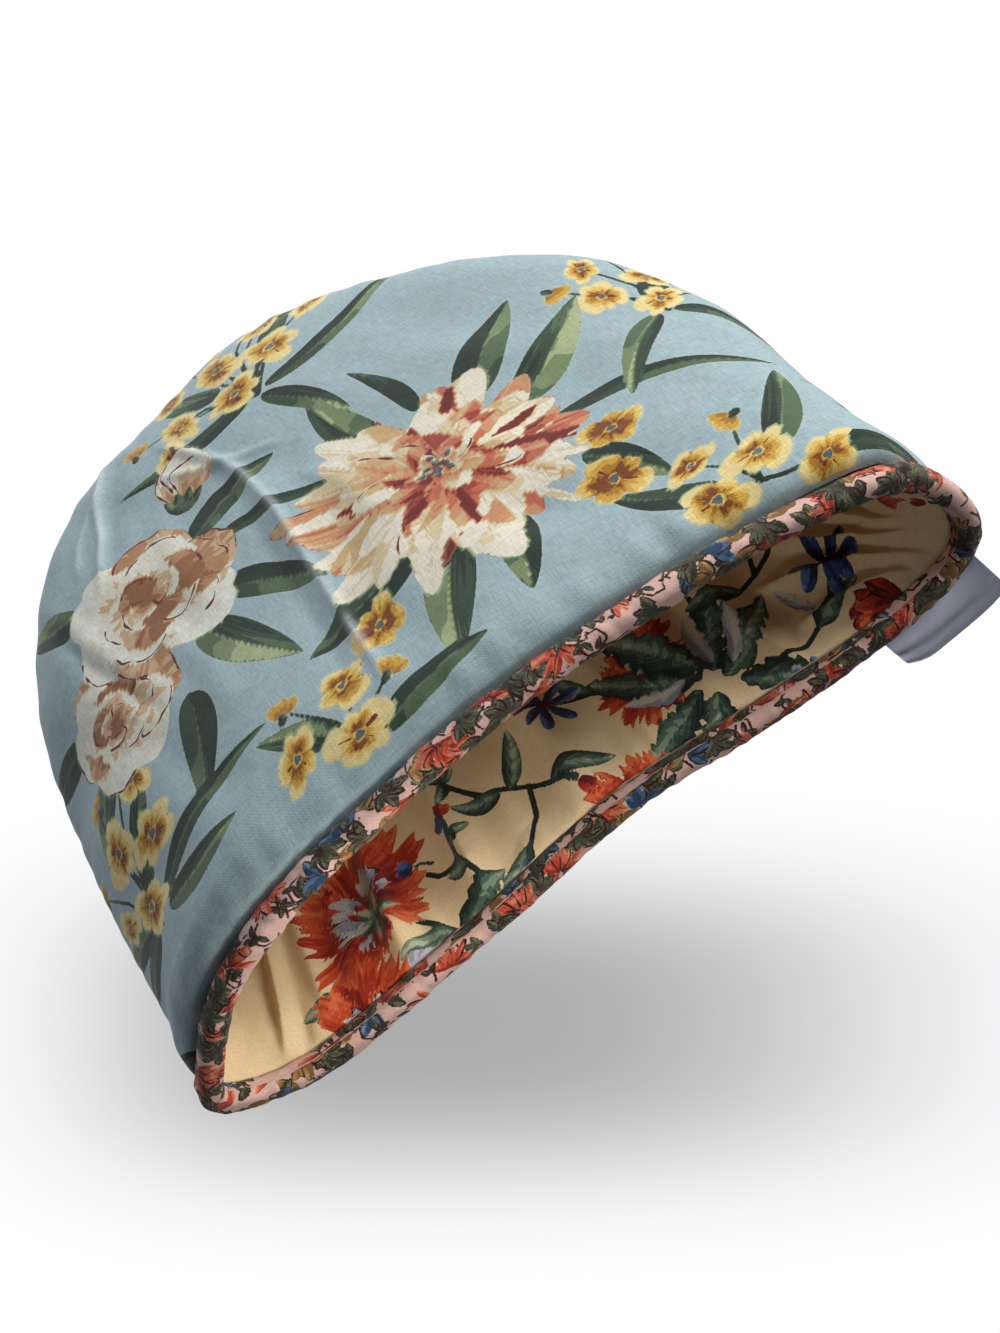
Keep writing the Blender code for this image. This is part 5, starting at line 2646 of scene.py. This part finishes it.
# Each row: a line's numbers in turn, a width, a height, then the crest's power and the soft end's
# share where they aren't the usual ones.
FRONT_CREASES = creases(
    ((-52, 246, -33, 206, -26, 186, -23, 152, -24, 125, -25, 85, -25, 30), 2.2, 1.7, 1.8, 0.14),
    ((-44, 240, -25, 160, -24, 96, -26, 16), 9, 1.3),
    ((-58, 222, -40, 206, -23, 193, -2, 182), 2.2, 1.1, 1.8),
    ((-40, 226, -32, 170, -34, 100, -35, 40), 4, -1.1), ((-12, 196, -8, 140, -11, 80), 9, -1.3),
    ((-68, 268, -82, 233, -86, 213, -98, 184), 2.2, 1.6, 1.8),
    ((-74, 246, -96, 222, -104, 200), 2.4, 1.1, 1.8), ((-62, 264, -77, 224, -90, 188), 5, -1.2),
    ((-136, 230, -122, 190, -117, 168, -106, 130, -94, 96), 3.6, -1.3, 1.8),
    ((-124, 224, -111, 168, -96, 116), 5, 0.9), ((-110, 112, -100, 78, -84, 40), 8, -1.2),
    ((30, 66, 70, 52, 112, 36), 9, -1.2), ((-60, 214, -66, 170, -64, 126), 6, 0.9),
    ((-10, 168, 2, 142, 8, 108), 3.6, 0.5), ((14, 204, 40, 150, 50, 96), 14, 1.1),
    ((50, 232, 86, 170, 102, 112), 12, -1.1), ((116, 132, 128, 70), 9, 1),
    ((-86, 150, -76, 112, -72, 70), 6, 0.9),
)
BACK_CREASES = creases(
    ((-76, 220, -58, 150, -38, 76), 9, -2), ((-60, 232, -48, 180, -36, 130), 2.6, 1.4, 1.8),
    ((60, 230, 42, 160, 34, 90), 9, 2, 1.7), ((70, 216, 54, 170, 50, 130), 2.4, 1.3, 1.8),
    ((92, 136, 98, 80, 112, 30), 8, -1.8), ((-120, 66, -98, 44, -76, 26), 6, 1.4),
    ((-24, 262, -8, 196), 7, 1.3), ((6, 120, 0, 84, 8, 44), 5, 1),
)
FRONT_LINING_CREASES = creases(
    ((-95, 20, -88, 90, -80, 150), 8, 2), ((30, 30, 26, 90, 20, 160), 10, 1.8),
    ((-140, 16, -132, 70), 5, 1.8),
)
BACK_LINING_CREASES = creases(
    ((-147, -40, -140, 10, -132, 40, -114, 96), 3, 6, 1.8),
    ((-130, -40, -119, 30, -100, 120), 5, 3.6, 1.8), ((-110, -40, -101, 30, -88, 110), 5, 1.6, 1.8),
    ((-90, -40, -80, 30, -62, 140), 5.6, 8.6, 1.8), ((-50, -40, -44, 30, -38, 150), 5.8, 9, 1.8),
    ((-30, -40, -23, 24, -20, 90), 5, 1.8, 1.8), ((4, -40, 5, 40, 0, 140), 7.6, 6.4, 1.8),
    ((36, -40, 30, 100), 7, 1.6, 1.8), ((66, -40, 54, 100), 7, 5, 1.8),
    ((102, -40, 84, 60, 70, 140), 6, 4.4, 1.8), ((172, -14, 140, 33, 96, 52), 2.8, 6.4, 1.6),
    ((172, -10, 146, 40, 108, 72), 2.6, 7, 1.6), ((170, -6, 152, 44, 122, 90), 2.6, 6.6, 1.6),
    ((168, -2, 136, 21, 100, 26), 2.8, 5.6, 1.6),
)


def main() -> None:
    """Build the cosy piece by piece and set the studio up."""
    logging.basicConfig(level=logging.INFO, format="%(message)s")
    form = CosyForm()
    pieces = (
        PaddedPanel("outer_front_cloth", Side.FRONT, form, FRONT_CREASES, (0.0, 150.0), 11),
        PaddedPanel("outer_back_cloth", Side.REAR, form, BACK_CREASES, (96.0, 62.0), 23),
        LiningPanel("lining_back_cloth", Side.REAR, form, BACK_LINING_CREASES, (0.0, 32.0), 31),
        LiningPanel(
            "lining_front_cloth", Side.FRONT, form, FRONT_LINING_CREASES, (46.0, 96.0), 37, 180, 140
        ),
        HemBinding(form), LabelTab(form),
    )
    for piece in pieces:
        made = piece.build()
        LOG.info("%s: %d faces", made.name, len(made.data.polygons))
    Studio().build()


if __name__ == "__main__":
    main()
